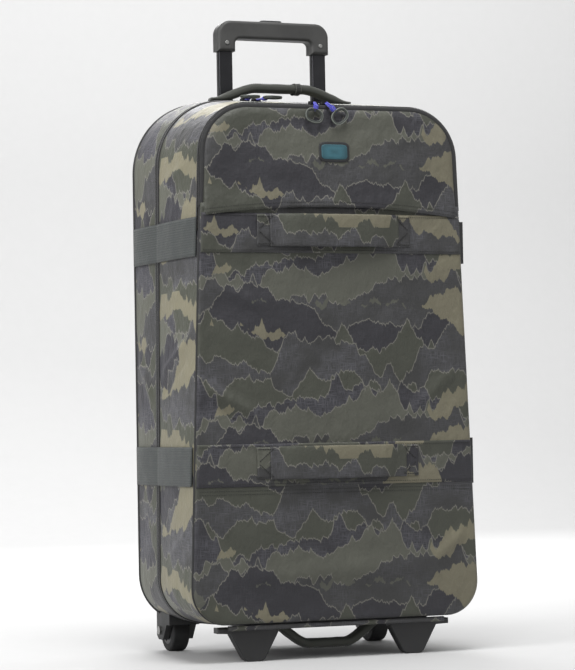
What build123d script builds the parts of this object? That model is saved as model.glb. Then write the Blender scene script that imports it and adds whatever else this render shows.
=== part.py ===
"""Wheeled duffel bag with a telescopic handle, in millimetres.

The bag stands upright on two front feet and two rear wheels. +Z is up, the front faces -Y,
X = 0 is the symmetry plane and the floor is Z = 0.
"""

from build123d import *
from collections import namedtuple
import os

os.makedirs("parts", exist_ok=True)

# ---- Driving dimensions of the bag ----------------------------------------------------------
bag_width = 438.0           # across the sides, at the back edge
bag_height = 794.0          # underside to top, at the back edge
front_depth = 155.0         # front face to main zip
rear_depth = 100.0          # main zip to back edge
zip_y = 22.0                # depth position of the main zip
ground_clearance = 46.0     # floor to underside, at the back edge
wall = 3.0                  # padded fabric skin
base_half_width = 145.0     # half of the flat bottom that stays with the rear shell
gap = 0.5                   # free space between pieces that move apart
seat = 0.3                  # free space between soft pieces that rest on each other

# ---- Edges, zips and panels -------------------------------------------------------------------
piping_depth = 5.0
piping_proud = 1.5
piping_inset = 3.0
tape_width = 5.7            # each half of the main zip
flap_tape_width = 4.0       # each half of the pocket zip
panel_thickness = 3.0
flap_seam_z = 652.0
band_thickness = 2.0
upper_band = (592.0, 650.0)
lower_band = (253.0, 315.0)
gusset_split_z = 700.0
pocket_depth = 33.0
lining_thickness = 1.5

# ---- Straps and hooks ---------------------------------------------------------------------------
upper_wing = (587.0, 644.0)
lower_wing = (255.0, 312.0)
upper_hook = (580.0, 643.0)
lower_hook = (250.0, 318.0)
webbing_thickness = 2.0
webbing_clearance = 0.8
hook_length = 28.0
hook_thickness = 9.0
hook_pin_radius = 3.0
hook_lip = 4.0

# ---- Carry handles ------------------------------------------------------------------------------
front_handle_height = 48.0
front_handle_rise = 21.5    # outer face above the band, at the middle
front_handle_pad = 9.0      # thickness at the middle
upper_handle_half = 101.0
lower_handle_half = 107.0
handle_foot = 18.0          # length sewn down at each end
tab_width = 20.0
top_handle_setback = 40.0   # from the main zip to the middle of the top handle
top_handle_half = 114.0
top_handle_rise = 28.4
top_handle_pad = 14.0
top_handle_width = 24.0
bottom_handle_setback = 45.0
bottom_handle_half = 85.0
bottom_handle_drop = 36.0
bottom_handle_pad = 13.0
bottom_handle_width = 24.0

# ---- Telescopic handle ---------------------------------------------------------------------------
tube_x = 77.5
tube_inset = 25.0           # from the back edge to the middle of the tubes
inner_tube = (23.0, 14.0)
tube_wall = 1.6
tube_clearance = 0.4
drawn_out = 66.0            # how far the grip stands above its lowest position
stage_travel = 90.0
grip_height = 28.0
grip_depth = 28.0
grip_rise = 100.0           # underside of the grip above the bag's top edge
grip_corner = 22.0
leg_height = 20.0           # the grip's legs reach down over the tubes
leg_wall = 3.0
button_half_length = 18.0
button_travel = 3.0
bezel_thickness = 4.0

# ---- Wheels, feet and base -------------------------------------------------------------------------
wheel_radius = 32.0
wheel_width = 26.0
wheel_x = 165.0
wheel_setback = 2.0         # from the back edge to the axle
hub_radius = 21.0
axle_radius = 4.0
axle_clearance = 0.08
wheel_clearance = 3.5
side_clearance = 1.5
cheek = 9.5
housing_height = 82.0
foot_x = 126.0
foot_setback = 10.0
foot_depth = 18.0
foot_top_width = 74.0
foot_tip_width = 28.0
flange_reach = 20.0
tray_thickness = 4.0
board_thickness = 3.0

# ---- Zip sliders and pulls ----------------------------------------------------------------------------
slider_length = 14.0
slider_width = 9.0
slider_height = 4.5
# rest place of each slider across the bag, and how far its pull's ring lies to the side of it
main_slider_places = {"left": (-73.0, -8.0), "right": (-55.0, 10.0)}
flap_slider_places = {"left": (-24.0, -6.0), "right": (-6.0, 22.0)}
main_pull_length = 52.0
flap_pull_length = 32.0
ring_width = 33.0
ring_height = 24.0
ring_thickness = 2.6
ring_bar = 4.0              # width of the ring's rim
cord_width = 6.0
pin_offset = 1.5            # from the slider to the pull's pin
pull_overhang = 0.6         # how far the pull's end passes its pin

# ---- Worked-out places ---------------------------------------------------------------------------------
half_width = bag_width / 2
front_y = zip_y - front_depth
back_y = zip_y + rear_depth
top_z = ground_clearance + bag_height
tube_y = back_y - tube_inset
wheel_y = back_y - wheel_setback
top_handle_y = zip_y + top_handle_setback
foot_front_y = front_y + foot_setback
bottom_handle_y = front_y + bottom_handle_setback
grip_low_z = top_z + grip_rise
grip_half_width = tube_x + inner_tube[0] / 2 + leg_wall
face_y = front_y - piping_depth + 1.0           # outermost plane of the front piping
panel_y = face_y + 0.5                          # outer face of the front panel
front_band_y = panel_y - band_thickness         # outer face of the strap bands
back_panel_y = back_y + piping_depth - 1.5      # outer face of the back panel
wheel_z = wheel_radius

Section = namedtuple("Section", "y low high bottom_half top_half bottom_radius top_radius")
front_section = Section(
    front_y, ground_clearance + 10, top_z - 30, half_width + 8, half_width - 19, 50, 75
)
zip_section = Section(zip_y, ground_clearance + 4, top_z - 7, half_width + 4, half_width - 5, 68, 105)
back_section = Section(back_y, ground_clearance, top_z, half_width, half_width, 72, 112)


def section_at(y):
    """Sizes of the bag's outline at depth y, in straight lines between the three sections."""
    if y < zip_y:
        start, end = front_section, zip_section
    else:
        start, end = zip_section, back_section
    share = (y - start.y) / (end.y - start.y)
    return Section(*(low + share * (high - low) for low, high in zip(start, end)))


def outline(y, inset=0.0):
    """The bag's outline at depth y, seen from the front and drawn in by inset."""
    size = section_at(y)
    with BuildSketch() as shape:
        with BuildLine():
            Polyline(
                (-size.bottom_half, size.low),
                (size.bottom_half, size.low),
                (size.top_half, size.high),
                (-size.top_half, size.high),
                close=True,
            )
        make_face()
        fillet(shape.vertices().group_by(Axis.Y)[0], size.bottom_radius)
        fillet(shape.vertices().group_by(Axis.Y)[-1], size.top_radius)
        if inset != 0:
            offset(amount=-inset)
    return shape.sketch


def skin(start, end, outer, inner):
    """A ring of the bag's skin between two depths, from inset outer to inset inner."""
    with BuildPart() as ring:
        for y in (start, end):
            with BuildSketch(Plane.XZ.offset(-y)):
                add(outline(y, outer))
        loft(ruled=True)
        for y in (start, end):
            with BuildSketch(Plane.XZ.offset(-y)):
                add(outline(y, inner))
        loft(ruled=True, mode=Mode.SUBTRACT)
    return ring.part


def plate(near, far, y, inset):
    """A flat plate with the outline of depth y, between two depths."""
    with BuildPart() as sheet:
        with BuildSketch(Plane.XZ.offset(-far)):
            add(outline(y, inset))
        extrude(amount=far - near)
    return sheet.part


def ring_plate(near, far, y, outer, inner):
    """A flat ring along the outline of depth y, between two depths."""
    with BuildPart() as ring:
        with BuildSketch(Plane.XZ.offset(-far)):
            add(outline(y, outer))
            add(outline(y, inner), mode=Mode.SUBTRACT)
        extrude(amount=far - near)
    return ring.part


def block(x, y, z, mode=Mode.ADD):
    """A block given by its low and high edge along each direction."""
    with Locations(((x[0] + x[1]) / 2, (y[0] + y[1]) / 2, (z[0] + z[1]) / 2)):
        Box(x[1] - x[0], y[1] - y[0], z[1] - z[0], mode=mode)


far_out = 2000.0
everywhere = (-far_out, far_out)
below_corners = ground_clearance + 30.0


# ---- Wheel wells, shared by every piece of the shell they cut -----------------------------------
well_half = wheel_width / 2 + side_clearance + cheek
well_front_y = wheel_y - wheel_radius - wheel_clearance - 8.0
well_back_y = wheel_y + 16.0
well_inner_x = wheel_x - well_half
well_outer_x = wheel_x + well_half


def cut_wheel_wells():
    for side in (-1, 1):
        with Locations((side * wheel_x, (well_front_y + well_back_y + 10) / 2, housing_height / 2)):
            Box(
                2 * well_half + 2 * gap,
                well_back_y - well_front_y + 10 + 2 * gap,
                housing_height + 2 * gap,
                mode=Mode.SUBTRACT,
            )


# ---- Tube sections, from the innermost stage outwards ----------------------------------------------
grow = 2 * (tube_wall + tube_clearance)
middle_tube = (inner_tube[0] + grow, inner_tube[1] + grow)
outer_tube = (middle_tube[0] + grow, middle_tube[1] + grow)


def cut_tube_holes(size, clearance):
    """Cut two holes in the top, with room for a tube of this size."""
    with BuildSketch(Plane.XY.offset(top_z - 100.0)) as holes:
        with Locations((-tube_x, tube_y), (tube_x, tube_y)):
            RectangleRounded(size[0] + 2 * clearance, size[1] + 2 * clearance, 4.0)
    extrude(holes.sketch, amount=far_out, mode=Mode.SUBTRACT)


# =====================================================================================================
# Rear shell
# =====================================================================================================
rear_tape_start = zip_y + seat
rear_tape_end = rear_tape_start + tape_width

with BuildPart() as rear_gusset:
    add(skin(rear_tape_end, back_y - 1.0, 0.0, wall))
    cut_wheel_wells()
    cut_tube_holes(middle_tube, gap)
rear_gusset.part.label = "rear_gusset"
export_step(rear_gusset.part, "parts/rear_gusset.step")

with BuildPart() as main_zip_rear_tape:
    add(skin(rear_tape_start, rear_tape_end, 0.0, wall))
main_zip_rear_tape.part.label = "main_zip_rear_tape"
export_step(main_zip_rear_tape.part, "parts/main_zip_rear_tape.step")

with BuildPart() as rear_piping:
    add(ring_plate(back_y - 1.0, back_y + piping_depth - 1.0, back_y, -piping_proud, piping_inset))
    cut_wheel_wells()
rear_piping.part.label = "rear_piping"
export_step(rear_piping.part, "parts/rear_piping.step")

with BuildPart() as back_panel:
    add(plate(back_panel_y - 4.0, back_panel_y, back_y, piping_inset))
    cut_wheel_wells()
back_panel.part.label = "back_panel"
export_step(back_panel.part, "parts/back_panel.step")

# The flat bottom stays with the rear shell; the front shell's side corners lift off beside it.
lid_tape_end = zip_y - seat
lid_tape_start = lid_tape_end - tape_width
gusset_start = front_y + 1.0

with BuildPart() as base_panel:
    add(skin(gusset_start + gap, zip_y, 0.0, wall))
    block((-base_half_width, base_half_width), everywhere, (0, below_corners), Mode.INTERSECT)
base_panel.part.label = "base_panel"
export_step(base_panel.part, "parts/base_panel.step")

with BuildPart() as base_tray:
    add(skin(gusset_start + 4.0, zip_y, -tray_thickness - seat, -seat))
    add(skin(zip_y, well_front_y - gap, -tray_thickness - seat, -seat))
    block((-base_half_width, base_half_width), everywhere, (0, below_corners), Mode.INTERSECT)
base_tray.part.label = "base_tray"
export_step(base_tray.part, "parts/base_tray.step")

board_low_z = front_section.low + wall + seat
board_half = well_inner_x - 2.0
with BuildPart() as base_board:
    with BuildSketch(Plane.XY.offset(board_low_z)):
        with Locations((0, (gusset_start + back_y) / 2)):
            RectangleRounded(2 * board_half, back_y - gusset_start - 10.0, 12.0)
    extrude(amount=board_thickness)
base_board.part.label = "base_board"
export_step(base_board.part, "parts/base_board.step")

binding_high_z = front_section.low - piping_proud - gap
with BuildPart() as bottom_binding:
    block(
        (-base_half_width - 25, base_half_width + 25),
        (face_y + 1, gusset_start + 3.5),
        (binding_high_z - 8, binding_high_z),
    )
    fillet(bottom_binding.edges().filter_by(Axis.X), 2.0)
bottom_binding.part.label = "bottom_binding"
export_step(bottom_binding.part, "parts/bottom_binding.step")

# Thin divider in front of the telescopic tubes.
divider_y = tube_y - outer_tube[1] / 2 - 3.0
divider_half = tube_x + outer_tube[0] / 2 + 10.0
divider_low_z = board_low_z + board_thickness + seat
divider_high_z = section_at(divider_y - lining_thickness).high - wall - seat
with BuildPart() as tube_divider:
    block(
        (-divider_half, divider_half),
        (divider_y - lining_thickness, divider_y),
        (divider_low_z, divider_high_z),
    )
tube_divider.part.label = "tube_divider"
export_step(tube_divider.part, "parts/tube_divider.step")

# ---- Back guards --------------------------------------------------------------------------------------
with BuildPart() as kick_plate:
    with BuildSketch(Plane.XZ.offset(-back_panel_y)):
        with Locations((0, back_section.low + 58)):
            RectangleRounded(2 * (well_inner_x - 2.0), 100.0, 10.0)
    extrude(amount=-5.0)
    fillet(kick_plate.faces().sort_by(Axis.Y)[-1].edges(), 2.0)
kick_plate.part.label = "kick_plate"
export_step(kick_plate.part, "parts/kick_plate.step")

rail_low_z = back_section.low + 112.0
with BuildPart() as back_rails:
    for side in (-1, 1):
        with BuildSketch(Plane.XZ.offset(-back_panel_y)):
            with Locations((side * 130.0, rail_low_z + 150.0)):
                SlotOverall(300.0, 16.0, rotation=90)
        extrude(amount=-8.0)
    fillet(back_rails.faces().group_by(Axis.Y)[-1].edges(), 3.0)
back_rails.part.label = "back_rails"
export_step(back_rails.part, "parts/back_rails.step")

# ---- Feet ------------------------------------------------------------------------------------------------
foot_high_z = section_at(foot_front_y + foot_depth).low - seat - tray_thickness - seat
with BuildPart() as front_feet:
    with BuildSketch(Plane.XZ.offset(-foot_front_y)):
        with BuildLine():
            Polyline(
                (foot_x - foot_top_width / 2, foot_high_z),
                (foot_x + foot_top_width / 2 + flange_reach, foot_high_z),
                (foot_x + foot_top_width / 2 + flange_reach, foot_high_z - 8.0),
                (foot_x + foot_top_width / 2, foot_high_z - 9.0),
                (foot_x + foot_tip_width / 2, 0),
                (foot_x - foot_tip_width / 2, 0),
                (foot_x - foot_top_width / 2, foot_high_z - 9.0),
                close=True,
            )
        make_face()
    extrude(amount=-foot_depth)
    fillet(front_feet.edges().filter_by(Axis.Y).group_by(Axis.Z)[0], foot_tip_width / 2 - 2.0)
    chamfer(front_feet.faces().sort_by(Axis.Y)[0].edges(), 1.5)
    mirror(about=Plane.YZ)
front_feet.part.label = "front_feet"
export_step(front_feet.part, "parts/front_feet.step")

# ---- Wheels ------------------------------------------------------------------------------------------------
housing_low_z = 18.0
for side, word in ((-1, "left"), (1, "right")):
    centre = side * wheel_x
    with BuildPart() as housing:
        with BuildSketch(Plane.YZ.offset(centre - well_half)):
            with BuildLine():
                Polyline(
                    (well_front_y, ground_clearance - 4.0),
                    (well_front_y, housing_height),
                    (well_back_y, housing_height),
                    (well_back_y, wheel_z - 8.0),
                    (wheel_y + 8.0, housing_low_z),
                    (wheel_y - 12.0, housing_low_z),
                    (wheel_y - 30.0, ground_clearance - 4.0),
                    close=True,
                )
            make_face()
        extrude(amount=2 * well_half)
        fillet(housing.edges().filter_by(Axis.X).group_by(Axis.Z)[0], 6.0)
        with BuildSketch(Plane.YZ.offset(centre - wheel_width / 2 - side_clearance)):
            with Locations((wheel_y, wheel_z)):
                Circle(wheel_radius + wheel_clearance)
        extrude(amount=wheel_width + 2 * side_clearance, mode=Mode.SUBTRACT)
        with BuildSketch(Plane.YZ.offset(centre - well_half)):
            with Locations((wheel_y, wheel_z)):
                Circle(axle_radius)
        extrude(amount=2 * well_half, mode=Mode.SUBTRACT)
    housing.part.label = f"wheel_housing_{word}"
    export_step(housing.part, f"parts/wheel_housing_{word}.step")

    with BuildPart() as hub:
        with BuildSketch(Plane.YZ.offset(centre - wheel_width / 2)):
            with Locations((wheel_y, wheel_z)):
                Circle(hub_radius)
                Circle(axle_radius + axle_clearance, mode=Mode.SUBTRACT)
        extrude(amount=wheel_width)
        for face_x, depth in ((centre - wheel_width / 2, 7.0), (centre + wheel_width / 2, -7.0)):
            with BuildSketch(Plane.YZ.offset(face_x)):
                with Locations((wheel_y, wheel_z)):
                    with PolarLocations(13.5, 5):
                        Circle(4.2)
            extrude(amount=depth, mode=Mode.SUBTRACT)
    hub.part.label = f"wheel_hub_{word}"
    export_step(hub.part, f"parts/wheel_hub_{word}.step")

    with BuildPart() as tyre:
        with BuildSketch(Plane.YZ.offset(centre - wheel_width / 2)):
            with Locations((wheel_y, wheel_z)):
                Circle(wheel_radius)
        extrude(amount=wheel_width)
        fillet(tyre.edges().filter_by(GeomType.CIRCLE), 3.0)
        with BuildSketch(Plane.YZ.offset(centre - wheel_width / 2)):
            with Locations((wheel_y, wheel_z)):
                Circle(hub_radius)
        extrude(amount=wheel_width, mode=Mode.SUBTRACT)
    tyre.part.label = f"tyre_{word}"
    export_step(tyre.part, f"parts/tyre_{word}.step")

with BuildPart() as axles:
    with BuildSketch(Plane.YZ.offset(well_inner_x)):
        with Locations((wheel_y, wheel_z)):
            Circle(axle_radius)
    extrude(amount=2 * well_half)
    for face_x, reach in ((well_inner_x, -3.0), (well_outer_x, 3.0)):
        with BuildSketch(Plane.YZ.offset(face_x)):
            with Locations((wheel_y, wheel_z)):
                RegularPolygon(7.0, 6)
        extrude(amount=reach)
    mirror(about=Plane.YZ)
axles.part.label = "axles"
export_step(axles.part, "parts/axles.step")

# =====================================================================================================
# Telescopic handle
# =====================================================================================================
bracket_low_z = board_low_z + board_thickness + seat
outer_low_z = bracket_low_z + 6.0
outer_high_z = section_at(tube_y - outer_tube[1] / 2).high - wall - seat
bezel_half = tube_x + outer_tube[0] / 2 + 12.0

with BuildPart() as tube_bracket:
    block(
        (-divider_half, divider_half),
        (tube_y - 12.0, tube_y + 12.0),
        (bracket_low_z, bracket_low_z + 6.0),
    )
    for side in (-1, 1):
        with BuildSketch(Plane.XY.offset(outer_low_z)):
            with Locations((side * tube_x, tube_y)):
                RectangleRounded(outer_tube[0] + 6.0, outer_tube[1] + 1.0, 4.0)
                RectangleRounded(outer_tube[0], outer_tube[1], 3.5, mode=Mode.SUBTRACT)
        extrude(amount=24.0)
tube_bracket.part.label = "tube_bracket"
export_step(tube_bracket.part, "parts/tube_bracket.step")

with BuildPart() as handle_bezel:
    add(skin(tube_y - 15.0, tube_y + 15.0, -bezel_thickness, -seat))
    block((-bezel_half, bezel_half), everywhere, (top_z - 100, far_out), Mode.INTERSECT)
    cut_tube_holes(middle_tube, gap)
handle_bezel.part.label = "handle_bezel"
export_step(handle_bezel.part, "parts/handle_bezel.step")

middle_low_z = outer_low_z + 25.0
middle_high_z = section_at(tube_y).high + bezel_thickness + 1.0
inner_low_z = middle_low_z + drawn_out + 5.0
inner_high_z = grip_low_z + 14.0
stages = (
    ("outer_tubes", outer_tube, outer_low_z, outer_high_z),
    ("middle_tubes", middle_tube, middle_low_z, middle_high_z),
    ("inner_tubes", inner_tube, inner_low_z, inner_high_z),
)
for name, size, low, high in stages:
    with BuildPart() as tubes:
        with BuildSketch(Plane.XY.offset(low)):
            with Locations((-tube_x, tube_y), (tube_x, tube_y)):
                RectangleRounded(size[0], size[1], 3.5)
                RectangleRounded(
                    size[0] - 2 * tube_wall, size[1] - 2 * tube_wall, 1.9, mode=Mode.SUBTRACT
                )
        extrude(amount=high - low)
    tubes.part.label = name
    export_step(tubes.part, f"parts/{name}.step")

plug_size = (inner_tube[0] - 2 * tube_wall - 0.4, inner_tube[1] - 2 * tube_wall - 0.4)
with BuildPart() as lock_plugs:
    with BuildSketch(Plane.XY.offset(inner_low_z - 2.0)):
        with Locations((-tube_x, tube_y), (tube_x, tube_y)):
            RectangleRounded(plug_size[0], plug_size[1], 1.7)
    extrude(amount=32.0)
lock_plugs.part.label = "lock_plugs"
export_step(lock_plugs.part, "parts/lock_plugs.step")

leg_front_y = tube_y - grip_depth / 2
with BuildPart() as grip_rivets:
    with BuildSketch(Plane.XZ.offset(-leg_front_y)):
        with Locations((-tube_x, grip_low_z - 7.0), (tube_x, grip_low_z - 7.0)):
            Circle(3.2)
    extrude(amount=1.2)
    fillet(grip_rivets.faces().group_by(Axis.Y)[0].edges(), 0.8)
grip_rivets.part.label = "grip_rivets"
export_step(grip_rivets.part, "parts/grip_rivets.step")

pocket_low_z = grip_low_z + grip_height - 10.0
leg_inner_x = tube_x - inner_tube[0] / 2 - leg_wall
with BuildPart() as grip:
    with BuildSketch(Plane.XZ.offset(-(tube_y - grip_depth / 2))):
        with BuildLine():
            Polyline(
                (-grip_half_width, grip_low_z - leg_height),
                (-grip_half_width, grip_low_z + grip_height),
                (grip_half_width, grip_low_z + grip_height),
                (grip_half_width, grip_low_z - leg_height),
                (leg_inner_x, grip_low_z - leg_height),
                (leg_inner_x, grip_low_z),
                (-leg_inner_x, grip_low_z),
                (-leg_inner_x, grip_low_z - leg_height),
                close=True,
            )
        make_face()
    extrude(amount=-grip_depth)
    upright_edges = grip.edges().filter_by(Axis.Y)
    fillet(upright_edges.group_by(Axis.Z)[-1], grip_corner)
    fillet(grip.edges().filter_by(Axis.Y).group_by(Axis.Z)[1], 8.0)
    fillet(grip.faces().sort_by(Axis.Y)[0].edges(), 5.0)
    fillet(grip.faces().sort_by(Axis.Y)[-1].edges(), 5.0)
    with BuildSketch(Plane.XY.offset(grip_low_z - leg_height)):
        with Locations((-tube_x, tube_y), (tube_x, tube_y)):
            RectangleRounded(inner_tube[0] + 0.4, inner_tube[1] + 0.4, 3.6)
    extrude(amount=inner_high_z - grip_low_z + leg_height + 0.4, mode=Mode.SUBTRACT)
    with BuildSketch(Plane.XY.offset(pocket_low_z)):
        with Locations((0, tube_y)):
            SlotOverall(2 * button_half_length + 1.0, 15.0)
    extrude(amount=grip_height, mode=Mode.SUBTRACT)
grip.part.label = "grip"
export_step(grip.part, "parts/grip.step")

button_low_z = pocket_low_z + button_travel + 1.0
with BuildPart() as grip_button:
    with BuildSketch(Plane.XY.offset(button_low_z)):
        with Locations((0, tube_y)):
            SlotOverall(2 * button_half_length, 14.0)
    extrude(amount=grip_low_z + grip_height + button_travel - button_low_z)
    fillet(grip_button.faces().sort_by(Axis.Z)[-1].edges(), 1.5)
grip_button.part.label = "grip_button"
export_step(grip_button.part, "parts/grip_button.step")

# =====================================================================================================
# Carry handles
# =====================================================================================================
top_handle_near_y = top_handle_y - top_handle_width / 2
top_handle_far_y = top_handle_y + top_handle_width / 2
anchor_thickness = 1.8
top_handle_seat_z = section_at(top_handle_far_y).high + anchor_thickness + seat
with BuildPart() as top_handle_anchors:
    add(skin(top_handle_near_y - 2.0, top_handle_far_y + 2.0, -anchor_thickness, -0.05))
    block(
        (-top_handle_half - 6, top_handle_half + 6), everywhere, (top_z - 100, far_out), Mode.INTERSECT
    )
    block(
        (-top_handle_half + 24, top_handle_half - 24), everywhere, (top_z - 100, far_out), Mode.SUBTRACT
    )
top_handle_anchors.part.label = "top_handle_anchors"
export_step(top_handle_anchors.part, "parts/top_handle_anchors.step")


def bow(half, foot, seat_height, rise, pad):
    """Side view of a carry handle that bows away from seat_height by rise."""
    towards = 1 if rise > 0 else -1
    with BuildSketch() as shape:
        with BuildLine():
            ThreePointArc((-half, seat_height), (0, seat_height + rise), (half, seat_height))
            Line((half, seat_height), (half - foot, seat_height))
            ThreePointArc(
                (half - foot, seat_height),
                (0, seat_height + rise - towards * pad),
                (-half + foot, seat_height),
            )
            Line((-half + foot, seat_height), (-half, seat_height))
        make_face()
    return shape.sketch


with BuildPart() as top_handle:
    with BuildSketch(Plane.XZ.offset(-top_handle_near_y)):
        add(bow(top_handle_half, handle_foot + 4.0, top_handle_seat_z, top_handle_rise, top_handle_pad))
    extrude(amount=-top_handle_width)
top_handle.part.label = "top_handle"
export_step(top_handle.part, "parts/top_handle.step")

bottom_handle_near_y = bottom_handle_y - bottom_handle_width / 2
bottom_seat_z = section_at(bottom_handle_y).low - seat - tray_thickness - gap - 0.6
with BuildPart() as bottom_handle:
    with BuildSketch(Plane.XZ.offset(-bottom_handle_near_y)):
        add(bow(bottom_handle_half, handle_foot, bottom_seat_z, -bottom_handle_drop, bottom_handle_pad))
    extrude(amount=-bottom_handle_width)
bottom_handle.part.label = "bottom_handle"
export_step(bottom_handle.part, "parts/bottom_handle.step")

front_handles = (
    ("front_handle_upper", upper_handle_half, sum(upper_band) / 2 + 4.0),
    ("front_handle_lower", lower_handle_half, sum(lower_band) / 2 + 3.0),
)
handle_seat_y = front_band_y - seat
for name, half, middle_z in front_handles:
    with BuildPart() as front_handle:
        with BuildSketch(Plane.XY.offset(middle_z - front_handle_height / 2)):
            add(bow(half, handle_foot, handle_seat_y, -front_handle_rise, front_handle_pad))
        extrude(amount=front_handle_height)
    front_handle.part.label = name
    export_step(front_handle.part, f"parts/{name}.step")

with BuildPart() as handle_tabs:
    for name, half, middle_z in front_handles:
        for side in (-1, 1):
            with BuildSketch(Plane.XZ.offset(-front_band_y)):
                with BuildLine():
                    Polyline(
                        (side * (half + gap), middle_z - front_handle_height / 2),
                        (side * (half + tab_width), middle_z - front_handle_height / 2 + 6),
                        (side * (half + tab_width), middle_z + front_handle_height / 2 - 6),
                        (side * (half + gap), middle_z + front_handle_height / 2),
                        close=True,
                    )
                make_face()
            extrude(amount=2.0)
handle_tabs.part.label = "handle_tabs"
export_step(handle_tabs.part, "parts/handle_tabs.step")

# =====================================================================================================
# Front shell, which opens about its lower front edge
# =====================================================================================================


def front_shell():
    """The front shell's skin without the flat bottom, from the front piping to the zip tape."""
    with BuildPart() as shell:
        add(skin(gusset_start, lid_tape_start, 0.0, wall))
        cut_flat_bottom()
    return shell.part


def cut_flat_bottom():
    block(
        (-base_half_width - gap, base_half_width + gap), everywhere, (0, below_corners), Mode.SUBTRACT
    )


for side, word in ((-1, "left"), (1, "right")):
    with BuildPart() as side_gusset:
        add(front_shell())
        block(
            (min(0, side * far_out), max(0, side * far_out)), everywhere, (0, gusset_split_z), Mode.INTERSECT
        )
    side_gusset.part.label = f"front_gusset_{word}"
    export_step(side_gusset.part, f"parts/front_gusset_{word}.step")

with BuildPart() as front_gusset_top:
    add(front_shell())
    block(everywhere, everywhere, (gusset_split_z, far_out), Mode.INTERSECT)
front_gusset_top.part.label = "front_gusset_top"
export_step(front_gusset_top.part, "parts/front_gusset_top.step")

with BuildPart() as main_zip_front_tape:
    add(skin(lid_tape_start, lid_tape_end, 0.0, wall))
    cut_flat_bottom()
main_zip_front_tape.part.label = "main_zip_front_tape"
export_step(main_zip_front_tape.part, "parts/main_zip_front_tape.step")

with BuildPart() as front_piping:
    add(ring_plate(face_y, gusset_start, front_y, -piping_proud, piping_inset))
front_piping.part.label = "front_piping"
export_step(front_piping.part, "parts/front_piping.step")

with BuildPart() as front_panel:
    add(plate(panel_y, panel_y + panel_thickness, front_y, piping_inset))
    block(everywhere, everywhere, (0, flap_seam_z), Mode.INTERSECT)
front_panel.part.label = "front_panel"
export_step(front_panel.part, "parts/front_panel.step")

flap_tape_start = piping_inset + flap_tape_width + gap
flap_low_z = flap_seam_z + gap + 0.5
with BuildPart() as flap_zip_lid_tape:
    add(ring_plate(panel_y, panel_y + 2.5, front_y, piping_inset, piping_inset + flap_tape_width))
    block(everywhere, everywhere, (flap_seam_z, far_out), Mode.INTERSECT)
flap_zip_lid_tape.part.label = "flap_zip_lid_tape"
export_step(flap_zip_lid_tape.part, "parts/flap_zip_lid_tape.step")

pocket_back_y = panel_y + panel_thickness + pocket_depth
with BuildPart() as pocket_liner:
    liner_edge = wall + seat
    add(plate(pocket_back_y, pocket_back_y + lining_thickness, pocket_back_y, liner_edge))
    block(everywhere, everywhere, (flap_seam_z - 6.0, far_out), Mode.INTERSECT)
    floor_half = section_at(pocket_back_y).top_half - liner_edge - 4.0
    block(
        (-floor_half, floor_half),
        (panel_y + panel_thickness, pocket_back_y),
        (flap_seam_z - 6.0, flap_seam_z - 6.0 + lining_thickness),
    )
pocket_liner.part.label = "pocket_liner"
export_step(pocket_liner.part, "parts/pocket_liner.step")

for name, heights in (("upper_strap_band", upper_band), ("lower_strap_band", lower_band)):
    with BuildPart() as strap_band:
        add(plate(front_band_y, panel_y, front_y, piping_inset + 1.0))
        block(everywhere, everywhere, heights, Mode.INTERSECT)
    strap_band.part.label = name
    export_step(strap_band.part, f"parts/{name}.step")

# ---- Compression wings on the left, hooks on the right ------------------------------------------
wing_outer = -webbing_clearance - webbing_thickness
wing_end_y = back_y - 2.0
with BuildPart() as compression_wings:
    add(skin(gusset_start + gap, zip_y, wing_outer, -webbing_clearance))
    add(skin(zip_y, wing_end_y, wing_outer, -webbing_clearance))
    block((-far_out, 0), everywhere, (lower_wing[0], upper_wing[1]), Mode.INTERSECT)
    block((-far_out, 0), everywhere, (lower_wing[1], upper_wing[0]), Mode.SUBTRACT)
compression_wings.part.label = "compression_wings"
export_step(compression_wings.part, "parts/compression_wings.step")

hook_pin_y = gusset_start + 16.0
strap_end_inset = 4.0
with BuildPart() as strap_ends:
    add(skin(gusset_start + gap, hook_pin_y - 3.6, wing_outer, -webbing_clearance))
    block(
        (0, far_out),
        everywhere,
        (lower_hook[0] + strap_end_inset, upper_hook[1] - strap_end_inset),
        Mode.INTERSECT,
    )
    block(
        (0, far_out),
        everywhere,
        (lower_hook[1] - strap_end_inset, upper_hook[0] + strap_end_inset),
        Mode.SUBTRACT,
    )
strap_ends.part.label = "strap_ends"
export_step(strap_ends.part, "parts/strap_ends.step")


def side_x(y, z):
    """Half width of the bag's skin at depth y and height z, between its corners."""
    size = section_at(y)
    share = (z - size.low) / (size.high - size.low)
    return size.bottom_half + share * (size.top_half - size.bottom_half)


def hook_pin_x(low_z):
    """Where a hook's pin stands so that the hook clears the skin along its whole length."""
    widest = max(side_x(hook_pin_y, low_z), side_x(hook_pin_y + hook_length, low_z))
    return widest + webbing_clearance + hook_pin_radius


for name, heights in (("hook_upper", upper_hook), ("hook_lower", lower_hook)):
    pin_x = hook_pin_x(heights[0])
    with BuildPart() as hook:
        with BuildSketch(Plane.XY.offset(heights[0])):
            with Locations((pin_x, hook_pin_y)):
                Circle(hook_pin_radius)
            with Locations((pin_x + hook_thickness / 2 - 1.0, hook_pin_y + hook_length / 2)):
                Rectangle(hook_thickness, hook_length)
            with Locations((pin_x, hook_pin_y + hook_length - hook_lip / 2)):
                Rectangle(2 * hook_pin_radius, hook_lip)
        extrude(amount=heights[1] - heights[0])
    hook.part.label = name
    export_step(hook.part, f"parts/{name}.step")

# ---- Flap ----------------------------------------------------------------------------------------------
with BuildPart() as flap_zip_tape:
    add(
        ring_plate(
            panel_y, panel_y + 2.5, front_y, flap_tape_start, flap_tape_start + flap_tape_width
        )
    )
    block(everywhere, everywhere, (flap_low_z, far_out), Mode.INTERSECT)
flap_zip_tape.part.label = "flap_zip_tape"
export_step(flap_zip_tape.part, "parts/flap_zip_tape.step")

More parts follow.
